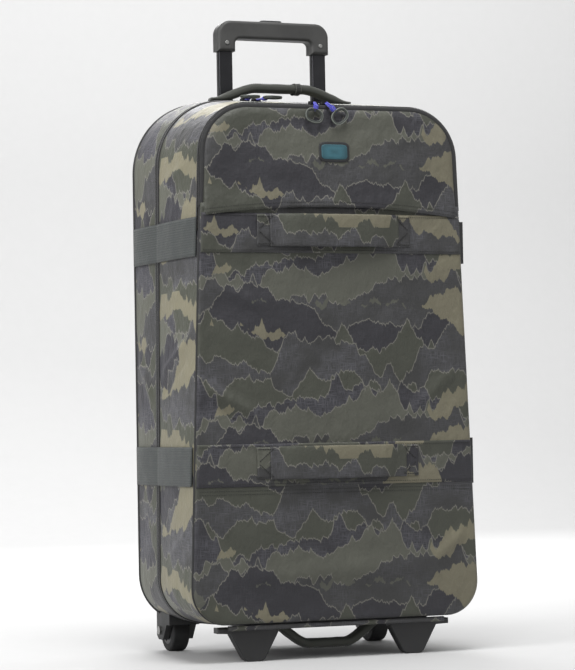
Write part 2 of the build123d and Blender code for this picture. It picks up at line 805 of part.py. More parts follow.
with BuildPart() as top_flap:
    add(plate(panel_y, panel_y + panel_thickness, front_y, flap_tape_start + flap_tape_width))
    block(everywhere, everywhere, (flap_low_z, far_out), Mode.INTERSECT)
top_flap.part.label = "top_flap"
export_step(top_flap.part, "parts/top_flap.step")

patch_x = 2.5
patch_z = 741.0
with BuildPart() as flap_patch:
    with BuildSketch(Plane.XZ.offset(-panel_y)):
        with Locations((patch_x, patch_z)):
            RectangleRounded(48.0, 30.0, 2.0)
    extrude(amount=1.5)
flap_patch.part.label = "flap_patch"
export_step(flap_patch.part, "parts/flap_patch.step")

# ---- Zip sliders and pulls -------------------------------------------------------------------------
main_slider_low_z = section_at(zip_y + slider_width / 2).high + seat
main_slider_high_z = main_slider_low_z + slider_height
main_pin_y = zip_y - slider_width / 2 - pin_offset
main_pin_z = main_slider_low_z + 2.2
slope = (zip_section.high - front_section.high) / front_depth
flap_slider_low_z = front_section.high + piping_proud + seat
flap_slider_near_y = face_y - seat
flap_pin_y = flap_slider_near_y - pin_offset
flap_pin_z = flap_slider_low_z + 2.2


def pull_shape(length, ring_shift):
    """A cord loop with an oval ring, flat, from the pin at the origin towards -Y."""
    ring_y = pull_overhang - length + ring_height / 2
    with BuildSketch() as shape:
        with BuildLine():
            Polyline(
                (-cord_width / 2, pull_overhang),
                (cord_width / 2, pull_overhang),
                (ring_shift + cord_width / 2, ring_y),
                (ring_shift - cord_width / 2, ring_y),
                close=True,
            )
        make_face()
        with Locations((ring_shift, ring_y)):
            Ellipse(ring_width / 2, ring_height / 2)
            Ellipse(ring_width / 2 - ring_bar, ring_height / 2 - ring_bar, mode=Mode.SUBTRACT)
    return shape.sketch


for word, (place, ring_shift) in main_slider_places.items():
    with BuildPart() as slider:
        block(
            (place - slider_length / 2, place + slider_length / 2),
            (zip_y - slider_width / 2, zip_y + slider_width / 2),
            (main_slider_low_z, main_slider_high_z),
        )
        fillet(slider.edges().filter_by(Axis.Z), 2.5)
    slider.part.label = f"main_slider_{word}"
    export_step(slider.part, f"parts/main_slider_{word}.step")

    with BuildPart() as pull:
        with BuildSketch(Plane((place, main_pin_y, main_pin_z), x_dir=(1, 0, 0), z_dir=(0, -slope, 1))):
            add(pull_shape(main_pull_length, ring_shift))
        extrude(amount=ring_thickness / 2, both=True)
    pull.part.label = f"main_pull_{word}"
    export_step(pull.part, f"parts/main_pull_{word}.step")

for word, (place, ring_shift) in flap_slider_places.items():
    with BuildPart() as slider:
        block(
            (place - slider_length / 2, place + slider_length / 2),
            (flap_slider_near_y, flap_slider_near_y + slider_width),
            (flap_slider_low_z, flap_slider_low_z + slider_height),
        )
        fillet(slider.edges().filter_by(Axis.Z), 2.5)
    slider.part.label = f"flap_slider_{word}"
    export_step(slider.part, f"parts/flap_slider_{word}.step")

    with BuildPart() as pull:
        with BuildSketch(Plane((place, flap_pin_y, flap_pin_z), x_dir=(1, 0, 0), z_dir=(0, -1, 0))):
            add(pull_shape(flap_pull_length, ring_shift))
        extrude(amount=ring_thickness / 2, both=True)
    pull.part.label = f"flap_pull_{word}"
    export_step(pull.part, f"parts/flap_pull_{word}.step")
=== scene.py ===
"""Looks of the rolling duffel bag: fabric, zips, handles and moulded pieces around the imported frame."""

import math
from collections import namedtuple

import bmesh
import bpy
import numpy as np
from mathutils import Matrix, Vector, noise


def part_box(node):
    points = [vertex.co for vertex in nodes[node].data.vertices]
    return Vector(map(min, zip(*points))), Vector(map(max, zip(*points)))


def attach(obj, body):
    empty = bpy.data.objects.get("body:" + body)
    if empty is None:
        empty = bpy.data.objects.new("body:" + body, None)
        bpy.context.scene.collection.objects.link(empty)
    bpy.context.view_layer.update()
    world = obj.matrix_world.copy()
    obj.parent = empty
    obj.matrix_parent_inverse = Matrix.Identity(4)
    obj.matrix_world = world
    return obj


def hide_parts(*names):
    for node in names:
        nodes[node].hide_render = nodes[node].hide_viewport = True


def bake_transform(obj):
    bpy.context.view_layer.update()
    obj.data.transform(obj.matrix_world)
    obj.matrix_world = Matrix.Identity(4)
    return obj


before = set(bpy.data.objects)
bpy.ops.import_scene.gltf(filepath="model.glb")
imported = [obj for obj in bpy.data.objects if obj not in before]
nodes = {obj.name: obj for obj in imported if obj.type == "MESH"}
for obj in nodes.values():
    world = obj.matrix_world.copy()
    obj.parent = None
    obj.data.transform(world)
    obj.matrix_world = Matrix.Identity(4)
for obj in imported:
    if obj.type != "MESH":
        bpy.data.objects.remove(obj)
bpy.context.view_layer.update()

# ---- Sizes, in metres ----------------------------------------------------------------------------------
MM = 0.001
PIPING_PROUD = 1.5 * MM
BASE_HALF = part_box("base_panel")[1][0]              # flat bottom that stays with the rear shell
FLAP_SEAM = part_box("front_panel")[1][2]             # where the front panel ends and the flap begins
FACE_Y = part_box("front_piping")[0][1]               # front plane
BACK_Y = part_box("rear_piping")[1][1]
FLAP_INSET = 4.5 * MM                                 # the flap's cloth ends this far inside the outline
FRONT_ZIP = (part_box("main_zip_front_tape")[0][1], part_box("main_zip_front_tape")[1][1])
REAR_ZIP = (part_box("main_zip_rear_tape")[0][1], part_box("main_zip_rear_tape")[1][1])
UPPER_BAND = (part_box("upper_strap_band")[0][2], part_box("upper_strap_band")[1][2])
SEAM_HEIGHTS = (0.2475, 0.2425)                      # double seam across the front, below the lower band
SIDE_STRAPS = ((0.255, 0.312), (0.587, 0.644))       # lowest and highest edge of the straps on the sides
LOWER_BAND = (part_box("lower_strap_band")[0][2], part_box("lower_strap_band")[1][2])

Section = namedtuple("Section", "y low high bottom_half top_half bottom_radius top_radius")


def end_heights(node, proud):
    low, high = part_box(node)
    return low[2] + proud, high[2] - proud


front_low, front_high = end_heights("front_piping", PIPING_PROUD)
back_low, back_high = end_heights("rear_piping", PIPING_PROUD)
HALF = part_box("rear_piping")[1][0] - PIPING_PROUD
FRONT = Section(-0.133, front_low, front_high, HALF + 8 * MM, HALF - 19 * MM, 0.050, 0.075)
ZIP = Section(0.022, back_low + 4 * MM, back_high - 7 * MM, HALF + 4 * MM, HALF - 5 * MM, 0.068, 0.105)
BACK = Section(0.122, back_low, back_high, HALF, HALF, 0.072, 0.112)


def section_at(y):
    start, end = (FRONT, ZIP) if y < ZIP.y else (ZIP, BACK)
    share = (y - start.y) / (end.y - start.y)
    return Section(*(a + share * (b - a) for a, b in zip(start, end)))


# ---- Outline of the bag, sampled the same way at every depth ----------------------------------------------
BOTTOM, CORNER, SIDE, SHOULDER, TOP = 20, 14, 150, 26, 56


def corner_arc(before, corner, after, radius, count):
    """Points and outward normals of a rounded corner, without its last point."""
    to_before = (before - corner) / np.linalg.norm(before - corner)
    to_after = (after - corner) / np.linalg.norm(after - corner)
    half_angle = math.acos(float(to_before @ to_after)) / 2
    reach = radius / math.tan(half_angle)
    middle = to_before + to_after
    centre = corner + middle / np.linalg.norm(middle) * radius / math.sin(half_angle)
    start = corner + to_before * reach
    finish = corner + to_after * reach
    first = math.atan2(*(start - centre)[::-1])
    last = math.atan2(*(finish - centre)[::-1])
    sweep = (last - first + math.pi) % (2 * math.pi) - math.pi
    angles = first + sweep * np.arange(count) / count
    directions = np.stack([np.cos(angles), np.sin(angles)], axis=1)
    return centre + radius * directions, directions, start, finish


def straight(start, finish, count):
    """Points and outward normals of a straight stretch, without its last point."""
    share = np.arange(count)[:, None] / count
    along = (finish - start) / np.linalg.norm(finish - start)
    normal = np.array([-along[1], along[0]])
    return start + share * (finish - start), np.repeat(normal[None], count, axis=0)


def rim(y, inset=0.0):
    """Outline at depth y: points (x, z), outward normals and arc length. It starts at the middle of the
    underside and runs left, up, over the top and down the right side."""
    size = section_at(y)
    low, high = size.low, size.high
    corners = [
        np.array(p)
        for p in ((size.bottom_half, low), (-size.bottom_half, low), (-size.top_half, high), (size.top_half, high))
    ]
    right_low, left_low, left_high, right_high = corners
    arcs = [
        corner_arc(right_low, left_low, left_high, size.bottom_radius, CORNER),
        corner_arc(left_low, left_high, right_high, size.top_radius, SHOULDER),
        corner_arc(left_high, right_high, right_low, size.top_radius, SHOULDER),
        corner_arc(right_high, right_low, left_low, size.bottom_radius, CORNER),
    ]
    middle = np.array([0.0, low])
    pieces = [straight(middle, arcs[0][2], BOTTOM), arcs[0][:2]]
    pieces += [straight(arcs[0][3], arcs[1][2], SIDE), arcs[1][:2]]
    pieces += [straight(arcs[1][3], arcs[2][2], TOP), arcs[2][:2]]
    pieces += [straight(arcs[2][3], arcs[3][2], SIDE), arcs[3][:2]]
    pieces += [straight(arcs[3][3], middle, BOTTOM)]
    points = np.concatenate([p for p, _ in pieces])
    normals = np.concatenate([outward(n, p) for p, n in pieces])
    steps = np.linalg.norm(np.diff(np.vstack([points, points[:1]]), axis=0), axis=1)
    lengths = np.concatenate([[0.0], np.cumsum(steps)[:-1]])
    return points - inset * normals, normals, lengths


def outward(normals, points):
    """Normals turned so that they point away from the middle of the bag."""
    centre = np.array([0.0, 0.44])
    sign = np.sign(np.sum((points - centre) * normals, axis=1, keepdims=True))
    return normals * np.where(sign == 0, 1, sign)


RIM_COUNT = 2 * (BOTTOM + CORNER + SIDE + SHOULDER) + TOP


# ---- Meshes ------------------------------------------------------------------------------------------------


def build_mesh(name, verts, faces, uvs=None, material=None, smooth=True):
    """A mesh object. uvs holds one (u, v) per vertex, in metres of cloth."""
    mesh = bpy.data.meshes.new(name)
    mesh.from_pydata([tuple(v) for v in verts], [], [tuple(f) for f in faces])
    if uvs is not None:
        layer = mesh.uv_layers.new(name="cloth")
        loops = np.empty(len(mesh.loops), dtype=np.int32)
        mesh.loops.foreach_get("vertex_index", loops)
        layer.data.foreach_set("uv", np.asarray(uvs, dtype=np.float32)[loops].ravel())
    mesh.validate()
    obj = bpy.data.objects.new(name, mesh)
    bpy.context.scene.collection.objects.link(obj)
    if smooth:
        mesh.polygons.foreach_set("use_smooth", [True] * len(mesh.polygons))
    if material is not None:
        mesh.materials.append(material)
    return obj


def grid_faces(rows, columns, wrap=False, flip=False):
    faces = []
    last = columns if wrap else columns - 1
    for r in range(rows - 1):
        for c in range(last):
            d = (c + 1) % columns
            face = (r * columns + c, r * columns + d, (r + 1) * columns + d, (r + 1) * columns + c)
            faces.append(face[::-1] if flip else face)
    return faces


def sheet_mesh(name, points, uvs, material, flip=False, wrap=False):
    """A surface through a grid of points[row][column]."""
    points = np.asarray(points)
    rows, columns = points.shape[:2]
    return build_mesh(
        name,
        points.reshape(-1, 3),
        grid_faces(rows, columns, wrap=wrap, flip=flip),
        np.asarray(uvs).reshape(-1, 2),
        material,
    )


def thicken(obj, thickness, inner=None, offset=-1.0):
    """Give a sheet its thickness; the inner side takes the second material."""
    solid = obj.modifiers.new("thickness", "SOLIDIFY")
    solid.thickness = thickness
    solid.offset = offset
    solid.use_even_offset = True
    if inner is not None:
        obj.data.materials.append(inner)
        solid.material_offset = 1
        solid.material_offset_rim = 0
    return obj


def applied(obj):
    """The piece with its thickness made real, ready to be joined."""
    bpy.context.view_layer.objects.active = obj
    bpy.ops.object.modifier_apply(modifier="thickness")
    return obj


def sweep(name, path, shape, material, up=None, closed=False, caps=True, lengthwise=False):
    """Sweep a closed outline along a path. shape is a list of (across, out) points, or a function of the
    share along the path that gives one; up is the out direction at each path point. lengthwise turns the
    cloth so that its width runs along the path."""
    path = np.asarray(path, dtype=float)
    count = len(path)
    ahead = np.roll(path, -1, axis=0) if closed else np.vstack([path[1:], path[-1:]])
    behind = np.roll(path, 1, axis=0) if closed else np.vstack([path[:1], path[:-1]])
    tangents = ahead - behind
    tangents /= np.linalg.norm(tangents, axis=1, keepdims=True)
    steps = np.linalg.norm(np.diff(path, axis=0), axis=1)
    lengths = np.concatenate([[0.0], np.cumsum(steps)])
    if up is None:
        up = carried_normals(tangents)
    up = np.broadcast_to(np.asarray(up, dtype=float), path.shape)
    verts, uvs = [], []
    for i in range(count):
        out = up[i] - tangents[i] * (up[i] @ tangents[i])
        out /= np.linalg.norm(out)
        across = np.cross(tangents[i], out)
        outline = shape(i / max(count - 1, 1)) if callable(shape) else shape
        outline = np.asarray(outline, dtype=float)
        ring = path[i] + outline[:, :1] * across + outline[:, 1:] * out
        verts.append(ring)
        edge = np.linalg.norm(np.diff(outline, axis=0, append=outline[:1]), axis=1)
        around = np.concatenate([[0.0], np.cumsum(edge)[:-1]])
        down = np.full(len(outline), lengths[i])
        uvs.append(np.stack([down, -around] if lengthwise else [around, down], axis=1))
    sides = len(verts[0])
    faces = grid_faces(count, sides, wrap=True)
    if closed:
        base = (count - 1) * sides
        faces += [(base + c, base + (c + 1) % sides, (c + 1) % sides, c) for c in range(sides)]
    elif caps:
        faces.append(tuple(range(sides))[::-1])
        faces.append(tuple((count - 1) * sides + c for c in range(sides)))
    return build_mesh(name, np.concatenate(verts), faces, np.concatenate(uvs), material)


def carried_normals(tangents):
    """Normals carried along a path without twist."""
    start = np.array([0.0, 0.0, 1.0]) if abs(tangents[0][2]) < 0.9 else np.array([1.0, 0.0, 0.0])
    normal = start - tangents[0] * (start @ tangents[0])
    result = []
    for tangent in tangents:
        normal = normal - tangent * (normal @ tangent)
        normal = normal / np.linalg.norm(normal)
        result.append(normal)
    return np.array(result)


def circle(radius, sides=12):
    angles = np.arange(sides) * 2 * math.pi / sides
    return np.stack([radius * np.cos(angles), radius * np.sin(angles)], axis=1)


def super_ellipse(half_width, half_height, power=3.0, sides=40):
    """A rounded rectangle from flat (high power) to oval (power 2)."""
    angles = np.arange(sides) * 2 * math.pi / sides
    c, s = np.cos(angles), np.sin(angles)
    return np.stack(
        [half_width * np.sign(c) * abs(c) ** (2 / power), half_height * np.sign(s) * abs(s) ** (2 / power)], axis=1
    )


def smooth_path(points, count, closed=False):
    """A Catmull-Rom curve through a few points, evenly divided."""
    points = [np.asarray(p, dtype=float) for p in points]
    if closed:
        extended = [points[-1]] + points + points[:2]
    else:
        extended = [2 * points[0] - points[1]] + points + [2 * points[-1] - points[-2]]
    spans = len(extended) - 3
    result = []
    for k in range(count):
        place = k / (count if closed else count - 1) * spans
        span = min(int(place), spans - 1)
        t = place - span
        a, b, c, d = extended[span : span + 4]
        result.append(
            0.5 * (2 * b + (c - a) * t + (2 * a - 5 * b + 4 * c - d) * t**2 + (3 * b - a - 3 * c + d) * t**3)
        )
    return np.array(result)


def join(name, parts):
    """One object made of several."""
    bpy.ops.object.select_all(action="DESELECT")
    for part in parts:
        part.select_set(True)
    bpy.context.view_layer.objects.active = parts[0]
    if len(parts) > 1:
        bpy.ops.object.join()
    parts[0].name = name
    parts[0].data.name = name
    return parts[0]


def beads(name, places, directions, ups, length, width, height, material):
    """Many small rounded bars, such as stitches or zip teeth, as one mesh."""
    profile = [(-1, 0.0), (-0.72, 0.8), (0.72, 0.8), (1, 0.0)]
    sides = 6
    angles = np.arange(sides) * 2 * math.pi / sides
    verts, faces = [], []
    for place, direction, up in zip(places, directions, ups):
        direction = direction / np.linalg.norm(direction)
        across = np.cross(direction, up)
        across /= np.linalg.norm(across)
        out = np.cross(across, direction)
        base = len(verts)
        verts.append(place - direction * length / 2)
        for along, size in profile[1:3]:
            for angle in angles:
                verts.append(
                    place
                    + direction * along * length / 2
                    + across * math.cos(angle) * size * width / 2
                    + out * math.sin(angle) * size * height / 2
                )
        verts.append(place + direction * length / 2)
        end = len(verts) - 1
        for k in range(sides):
            n = (k + 1) % sides
            faces.append((base, base + 1 + n, base + 1 + k))
            faces.append((base + 1 + k, base + 1 + n, base + 1 + sides + n, base + 1 + sides + k))
            faces.append((base + 1 + sides + k, base + 1 + sides + n, end))
    return build_mesh(name, verts, faces, None, material)


def along(path, spacing, offset=0.0):
    """Places and directions at even spacing along a path."""
    path = np.asarray(path, dtype=float)
    steps = np.linalg.norm(np.diff(path, axis=0), axis=1)
    lengths = np.concatenate([[0.0], np.cumsum(steps)])
    wanted = np.arange(spacing / 2 + offset, lengths[-1] - spacing / 2 + 1e-9, spacing)
    places = np.stack([np.interp(wanted, lengths, path[:, k]) for k in range(3)], axis=1)
    ahead = np.stack([np.interp(wanted + spacing / 4, lengths, path[:, k]) for k in range(3)], axis=1)
    behind = np.stack([np.interp(wanted - spacing / 4, lengths, path[:, k]) for k in range(3)], axis=1)
    return places, ahead - behind, wanted, lengths


def stitch_row(name, path, up, material, spacing=3.6 * MM, length=2.7 * MM, width=0.75 * MM):
    """A row of stitches along a path; up is the direction away from the cloth."""
    places, directions, wanted, lengths = along(path, spacing)
    up = np.broadcast_to(np.asarray(up, dtype=float), np.asarray(path).shape)
    ups = np.stack([np.interp(wanted, lengths, up[:, k]) for k in range(3)], axis=1)
    return beads(name, places, directions, ups, length, width, 0.6 * MM, material)


# ---- Materials ------------------------------------------------------------------------------------------------


def linear(red, green, blue):
    """Display colour, 0 to 255, as a linear colour."""
    def channel(value):
        value /= 255
        return value / 12.92 if value <= 0.04045 else ((value + 0.055) / 1.055) ** 2.4
    return (channel(red), channel(green), channel(blue), 1.0)


class Wiring:
    """Short forms for building a node tree."""

    def __init__(self, tree):
        self.tree = tree

    def add(self, kind, inputs=None, **settings):
        node = self.tree.nodes.new(kind)
        for key, value in settings.items():
            setattr(node, key, value)
        for key, value in (inputs or {}).items():
            self.feed(node.inputs[key], value)
        return node

    def feed(self, socket, value):
        if isinstance(value, bpy.types.NodeSocket):
            self.tree.links.new(value, socket)
        else:
            socket.default_value = value

    def math(self, operation, *values):
        node = self.add("ShaderNodeMath", operation=operation)
        for position, value in enumerate(values):
            self.feed(node.inputs[position], value)
        return node.outputs[0]

    def mix(self, factor, first, second, blend="MIX"):
        node = self.add("ShaderNodeMix", data_type="RGBA", blend_type=blend)
        self.feed(node.inputs[0], factor)
        self.feed(node.inputs[6], first)
        self.feed(node.inputs[7], second)
        return node.outputs[2]

    def spread(self, value, low, high, to_low=0.0, to_high=1.0):
        node = self.add("ShaderNodeMapRange", {0: value, 1: low, 2: high, 3: to_low, 4: to_high})
        return node.outputs[0]

    def noise(self, vector, scale, detail=3.0, roughness=0.5, dimensions="3D"):
        key = "W" if dimensions == "1D" else "Vector"
        node = self.add(
            "ShaderNodeTexNoise",
            {key: vector, "Scale": scale, "Detail": detail, "Roughness": roughness},
            noise_dimensions=dimensions,
        )
        return node.outputs["Fac"]

    def scaled(self, vector, x, y, z=1.0, shift=(0.0, 0.0, 0.0)):
        node = self.add("ShaderNodeMapping", {"Vector": vector, "Scale": (x, y, z), "Location": shift})
        return node.outputs[0]

    def bump(self, height, distance, strength=1.0, normal=None):
        node = self.add("ShaderNodeBump", {"Height": height, "Distance": distance, "Strength": strength})
        if normal is not None:
            self.feed(node.inputs["Normal"], normal)
        return node.outputs[0]


def ridge_group():
    """Distance below a jagged ridge line: h(x) is mountain-like, and the distance is across the line."""
    tree = bpy.data.node_groups.new("ridge", "ShaderNodeTree")
    for name in ("X", "Z", "Base", "Seed", "Height"):
        tree.interface.new_socket(name, in_out="INPUT", socket_type="NodeSocketFloat")
    tree.interface.new_socket("Distance", in_out="OUTPUT", socket_type="NodeSocketFloat")
    w = Wiring(tree)
    source = w.add("NodeGroupInput").outputs
    target = w.add("NodeGroupOutput")

    def ridge(x):
        def wave(rate, offset, detail=2.0, roughness=0.5):
            place = w.math("ADD", w.math("MULTIPLY", x, rate), w.math("ADD", source["Seed"], offset))
            return w.math("SUBTRACT", w.noise(place, 1.0, detail, roughness, "1D"), 0.5)

        summit = w.math("ABSOLUTE", wave(9.5, 5.3, 1.0))
        shoulder = w.math("ABSOLUTE", wave(31.0, 8.1, 1.0))
        jagged = wave(70.0, 1.7, 4.0, 0.72)
        rise = w.math("MULTIPLY", wave(4.2, 0.0, 1.0), 1.5)
        rise = w.math("SUBTRACT", rise, w.math("MULTIPLY", summit, 1.45))
        rise = w.math("SUBTRACT", rise, w.math("MULTIPLY", shoulder, 0.5))
        rise = w.math("ADD", rise, w.math("MULTIPLY", jagged, 0.2))
        return w.math("ADD", source["Base"], w.math("MULTIPLY", rise, source["Height"]))

    step = 1.2 * MM
    here = ridge(source["X"])
    beside = ridge(w.math("ADD", source["X"], step))
    slope = w.math("DIVIDE", w.math("SUBTRACT", beside, here), step)
    steepness = w.math("SQRT", w.math("ADD", w.math("MULTIPLY", slope, slope), 1.0))
    w.feed(target.inputs[0], w.math("DIVIDE", w.math("SUBTRACT", here, source["Z"]), steepness))
    return tree


CHARCOAL = linear(44, 43, 49)
DEEP = linear(58, 58, 58)
OLIVE = linear(70, 72, 62)
GREY_GREEN = linear(90, 91, 81)
KHAKI = linear(128, 123, 102)
OUTLINE = linear(128, 126, 118)
HATCH = linear(98, 98, 105)
REPEAT = 0.205                                       # height of one repeat of the print
LAYERS = (                                           # base within the repeat, seed, fill, hatched
    (0.222, 3.1, OLIVE, 0.0),
    (0.198, 11.7, CHARCOAL, 1.0),
    (0.166, 24.3, GREY_GREEN, 0.0),
    (0.138, 37.9, DEEP, 0.5),
    (0.112, 52.2, CHARCOAL, 0.2),
    (0.084, 66.6, OLIVE, 0.0),
    (0.054, 79.4, DEEP, 1.0),
)


def camo_group():
    """Generic camouflage of overlapping jagged bands with thin pale outlines, in cloth coordinates."""
    tree = bpy.data.node_groups.new("camo", "ShaderNodeTree")
    tree.interface.new_socket("Vector", in_out="INPUT", socket_type="NodeSocketVector")
    tree.interface.new_socket("Color", in_out="OUTPUT", socket_type="NodeSocketColor")
    tree.interface.new_socket("Weave", in_out="OUTPUT", socket_type="NodeSocketFloat")
    w = Wiring(tree)
    vector = w.add("NodeGroupInput").outputs[0]
    target = w.add("NodeGroupOutput")
    parts = w.add("ShaderNodeSeparateXYZ", {"Vector": vector}).outputs
    x, height = parts[0], parts[1]
    z = w.math("MULTIPLY", w.math("FRACT", w.math("DIVIDE", height, REPEAT)), REPEAT)
    ridge = ridge_group()

    def distance(base, seed, rise):
        node = w.add("ShaderNodeGroup", node_tree=ridge)
        for key, value in {"X": x, "Z": z, "Base": base, "Seed": seed, "Height": rise}.items():
            w.feed(node.inputs[key], value)
        return node.outputs[0]

    def crisp(value, width=0.35 * MM):
        return w.spread(value, -width, width)

    threads = w.noise(w.scaled(vector, 900, 60), 1.0, 2.0, 0.6)
    cross = w.noise(w.scaled(vector, 60, 900), 1.0, 2.0, 0.6)
    patches = w.noise(w.scaled(vector, 14, 18), 1.0, 2.0, 0.5)
    grid = w.math("MAXIMUM", w.spread(threads, 0.46, 0.66), w.spread(cross, 0.46, 0.66))
    hatch = w.math("MULTIPLY", grid, w.spread(patches, 0.36, 0.56))
    colour = OLIVE
    stack = [(base + REPEAT, *rest) for base, *rest in LAYERS[-3:]] + list(LAYERS)
    stack += [(base - REPEAT, *rest) for base, *rest in LAYERS[:2]]
    for base, seed, fill, hatched in stack:
        below = distance(base, seed, 0.098)
        tone = fill
        if hatched:
            tone = w.mix(w.math("MULTIPLY", hatch, 0.75 * hatched), fill, HATCH)
        colour = w.mix(crisp(below), colour, tone)
        line = w.math("SUBTRACT", 1.0, w.spread(w.math("ABSOLUTE", below), 0.45 * MM, 0.85 * MM))
        colour = w.mix(w.math("MULTIPLY", line, 0.8), colour, OUTLINE)
    for base, seed, tone in ((0.180, 71.3, KHAKI), (0.120, 95.8, GREY_GREEN), (0.085, 88.8, KHAKI)):
        upper = distance(base, seed, 0.115)
        lower = distance(base - 1 * MM, seed + 9.4, 0.07)
        island = w.math("MULTIPLY", crisp(upper), w.math("SUBTRACT", 1.0, crisp(lower)))
        colour = w.mix(w.math("MULTIPLY", island, 0.9), colour, tone)
    grain = w.noise(w.scaled(vector, 1500, 1500), 1.0, 2.0, 0.6)
    colour = w.mix(0.35, colour, w.mix(grain, (0.35, 0.35, 0.35, 1), (0.65, 0.65, 0.65, 1)), "OVERLAY")
    w.feed(target.inputs["Color"], colour)
    w.feed(target.inputs["Weave"], w.math("MAXIMUM", threads, cross))
    return tree


def new_material(name, **shader):
    """A material, its wiring and its shader, with the shader's even values set."""
    material = bpy.data.materials.new(name)
    material.use_nodes = True
    w = Wiring(material.node_tree)
    bsdf = material.node_tree.nodes["Principled BSDF"]
    for key, value in shader.items():
        bsdf.inputs[key.replace("_", " ")].default_value = value
    return material, w, bsdf


def weave_height(w, vector, pitch):
    """Over and under of a plain weave, 0 to 1."""
    parts = w.add("ShaderNodeSeparateXYZ", {"Vector": vector}).outputs
    rate = 2 * math.pi / pitch
    warp = w.math("SINE", w.math("MULTIPLY", parts[0], rate))
    weft = w.math("SINE", w.math("MULTIPLY", parts[1], rate))
    return w.math("ADD", w.math("MULTIPLY", w.math("MULTIPLY", warp, weft), 0.25), 0.5)


def camo_material(name, brightness=1.0, coordinates="cloth", turn=(0.0, 0.0), roughness=0.62):
    """Printed ripstop nylon. brightness scales its colour; the copies differ in it as painted light and shade."""
    material, w, bsdf = new_material(name, Sheen_Weight=0.05, Sheen_Roughness=0.4, Roughness=roughness)
    if coordinates == "cloth":
        vector = w.add("ShaderNodeUVMap", uv_map="cloth").outputs[0]
    else:
        place = w.add("ShaderNodeTexCoord").outputs["Object"]
        parts = w.add("ShaderNodeSeparateXYZ", {"Vector": place}).outputs
        vector = w.add("ShaderNodeCombineXYZ", {"X": parts[0], "Y": parts[2]}).outputs[0]
    vector = w.scaled(vector, 1, 1, 1, (turn[0], turn[1], 0))
    camo = w.add("ShaderNodeGroup", node_tree=CAMO)
    w.feed(camo.inputs[0], vector)
    colour = camo.outputs["Color"]
    worn = w.noise(w.scaled(vector, 9, 9), 1.0, 4.0, 0.6)
    # Random wear tone times brightness, which carries the painted light and shade of each copy.
    wear_and_painted_light = w.spread(worn, 0.3, 0.7, 0.9 * brightness, 1.1 * brightness)
    scale = w.add("ShaderNodeVectorMath", operation="SCALE")
    w.feed(scale.inputs[0], colour)
    w.feed(scale.inputs["Scale"], wear_and_painted_light)
    w.feed(bsdf.inputs["Base Color"], scale.outputs[0])
    w.feed(bsdf.inputs["Roughness"], w.spread(worn, 0.3, 0.7, roughness - 0.08, roughness + 0.06))
    fine = w.bump(weave_height(w, vector, 1.1 * MM), 0.12 * MM, 0.6)
    crinkle = w.noise(w.scaled(vector, 38, 26), 1.0, 4.0, 0.62)
    w.feed(bsdf.inputs["Normal"], w.bump(crinkle, 4.5 * MM, 0.8, fine))
    return material


def woven_material(name, colour, pitch=1.4 * MM, roughness=0.7, variation=0.25, coordinates="cloth", rib=False):
    """Plain dyed cloth or webbing, with its weave; the weave's hollows are darkened as painted shade, mixed with random
    wear.
    """
    material, w, bsdf = new_material(name, Sheen_Weight=0.15, Sheen_Roughness=0.5, Roughness=roughness)
    if coordinates == "cloth":
        vector = w.add("ShaderNodeUVMap", uv_map="cloth").outputs[0]
    else:
        place = w.add("ShaderNodeTexCoord").outputs["Object"]
        parts = w.add("ShaderNodeSeparateXYZ", {"Vector": place}).outputs
        mixed = w.math("ADD", parts[0], w.math("MULTIPLY", parts[1], 0.7))
        vector = w.add("ShaderNodeCombineXYZ", {"X": mixed, "Y": parts[2]}).outputs[0]
    height = weave_height(w, vector, pitch)
    if rib:
        parts = w.add("ShaderNodeSeparateXYZ", {"Vector": vector}).outputs
        ribs = w.math("SINE", w.math("MULTIPLY", parts[1], 2 * math.pi / (pitch * 2.2)))
        height = w.math("ADD", height, w.math("MULTIPLY", ribs, 0.35))
    worn = w.noise(w.scaled(vector, 40, 40), 1.0, 4.0, 0.65)
    # Colour from the weave's height, which gives painted shade in its hollows, and from random wear.
    weave_shade_and_wear = w.math("ADD", w.math("MULTIPLY", height, 0.5), w.math("MULTIPLY", worn, 0.5))
    dark = tuple(c * (1 - variation) for c in colour[:3]) + (1.0,)
    light = tuple(min(1.0, c * (1 + variation)) for c in colour[:3]) + (1.0,)
    w.feed(bsdf.inputs["Base Color"], w.mix(w.spread(weave_shade_and_wear, 0.3, 0.7), dark, light))
    w.feed(bsdf.inputs["Roughness"], w.spread(worn, 0.3, 0.7, roughness - 0.1, roughness + 0.08))
    w.feed(bsdf.inputs["Normal"], w.bump(height, 0.3 * MM, 0.8))
    return material


def moulded_material(name, colour, roughness=0.45, grain=1200.0, depth=0.08 * MM, variation=0.2, **shader):
    """Moulded plastic or rubber with a fine grain and rubbed edges."""
    material, w, bsdf = new_material(name, Roughness=roughness, **shader)
    place = w.add("ShaderNodeTexCoord").outputs["Object"]
    fine = w.noise(place, grain, 2.0, 0.6)
    broad = w.noise(place, 22.0, 4.0, 0.6)
    dark = tuple(c * (1 - variation) for c in colour[:3]) + (1.0,)
    light = tuple(min(1.0, c * (1 + variation)) for c in colour[:3]) + (1.0,)
    edge = w.add("ShaderNodeNewGeometry").outputs["Pointiness"]
    rubbed = w.spread(edge, 0.52, 0.6, 0.0, 0.35)
    base = w.mix(w.spread(broad, 0.35, 0.65), dark, light)
    worn = tuple(min(1.0, c * 2.2 + 0.01) for c in colour[:3]) + (1.0,)
    w.feed(bsdf.inputs["Base Color"], w.mix(rubbed, base, worn))
    w.feed(bsdf.inputs["Roughness"], w.spread(broad, 0.35, 0.65, roughness - 0.06, roughness + 0.08))
    w.feed(bsdf.inputs["Normal"], w.bump(fine, depth, 0.5))
    return material


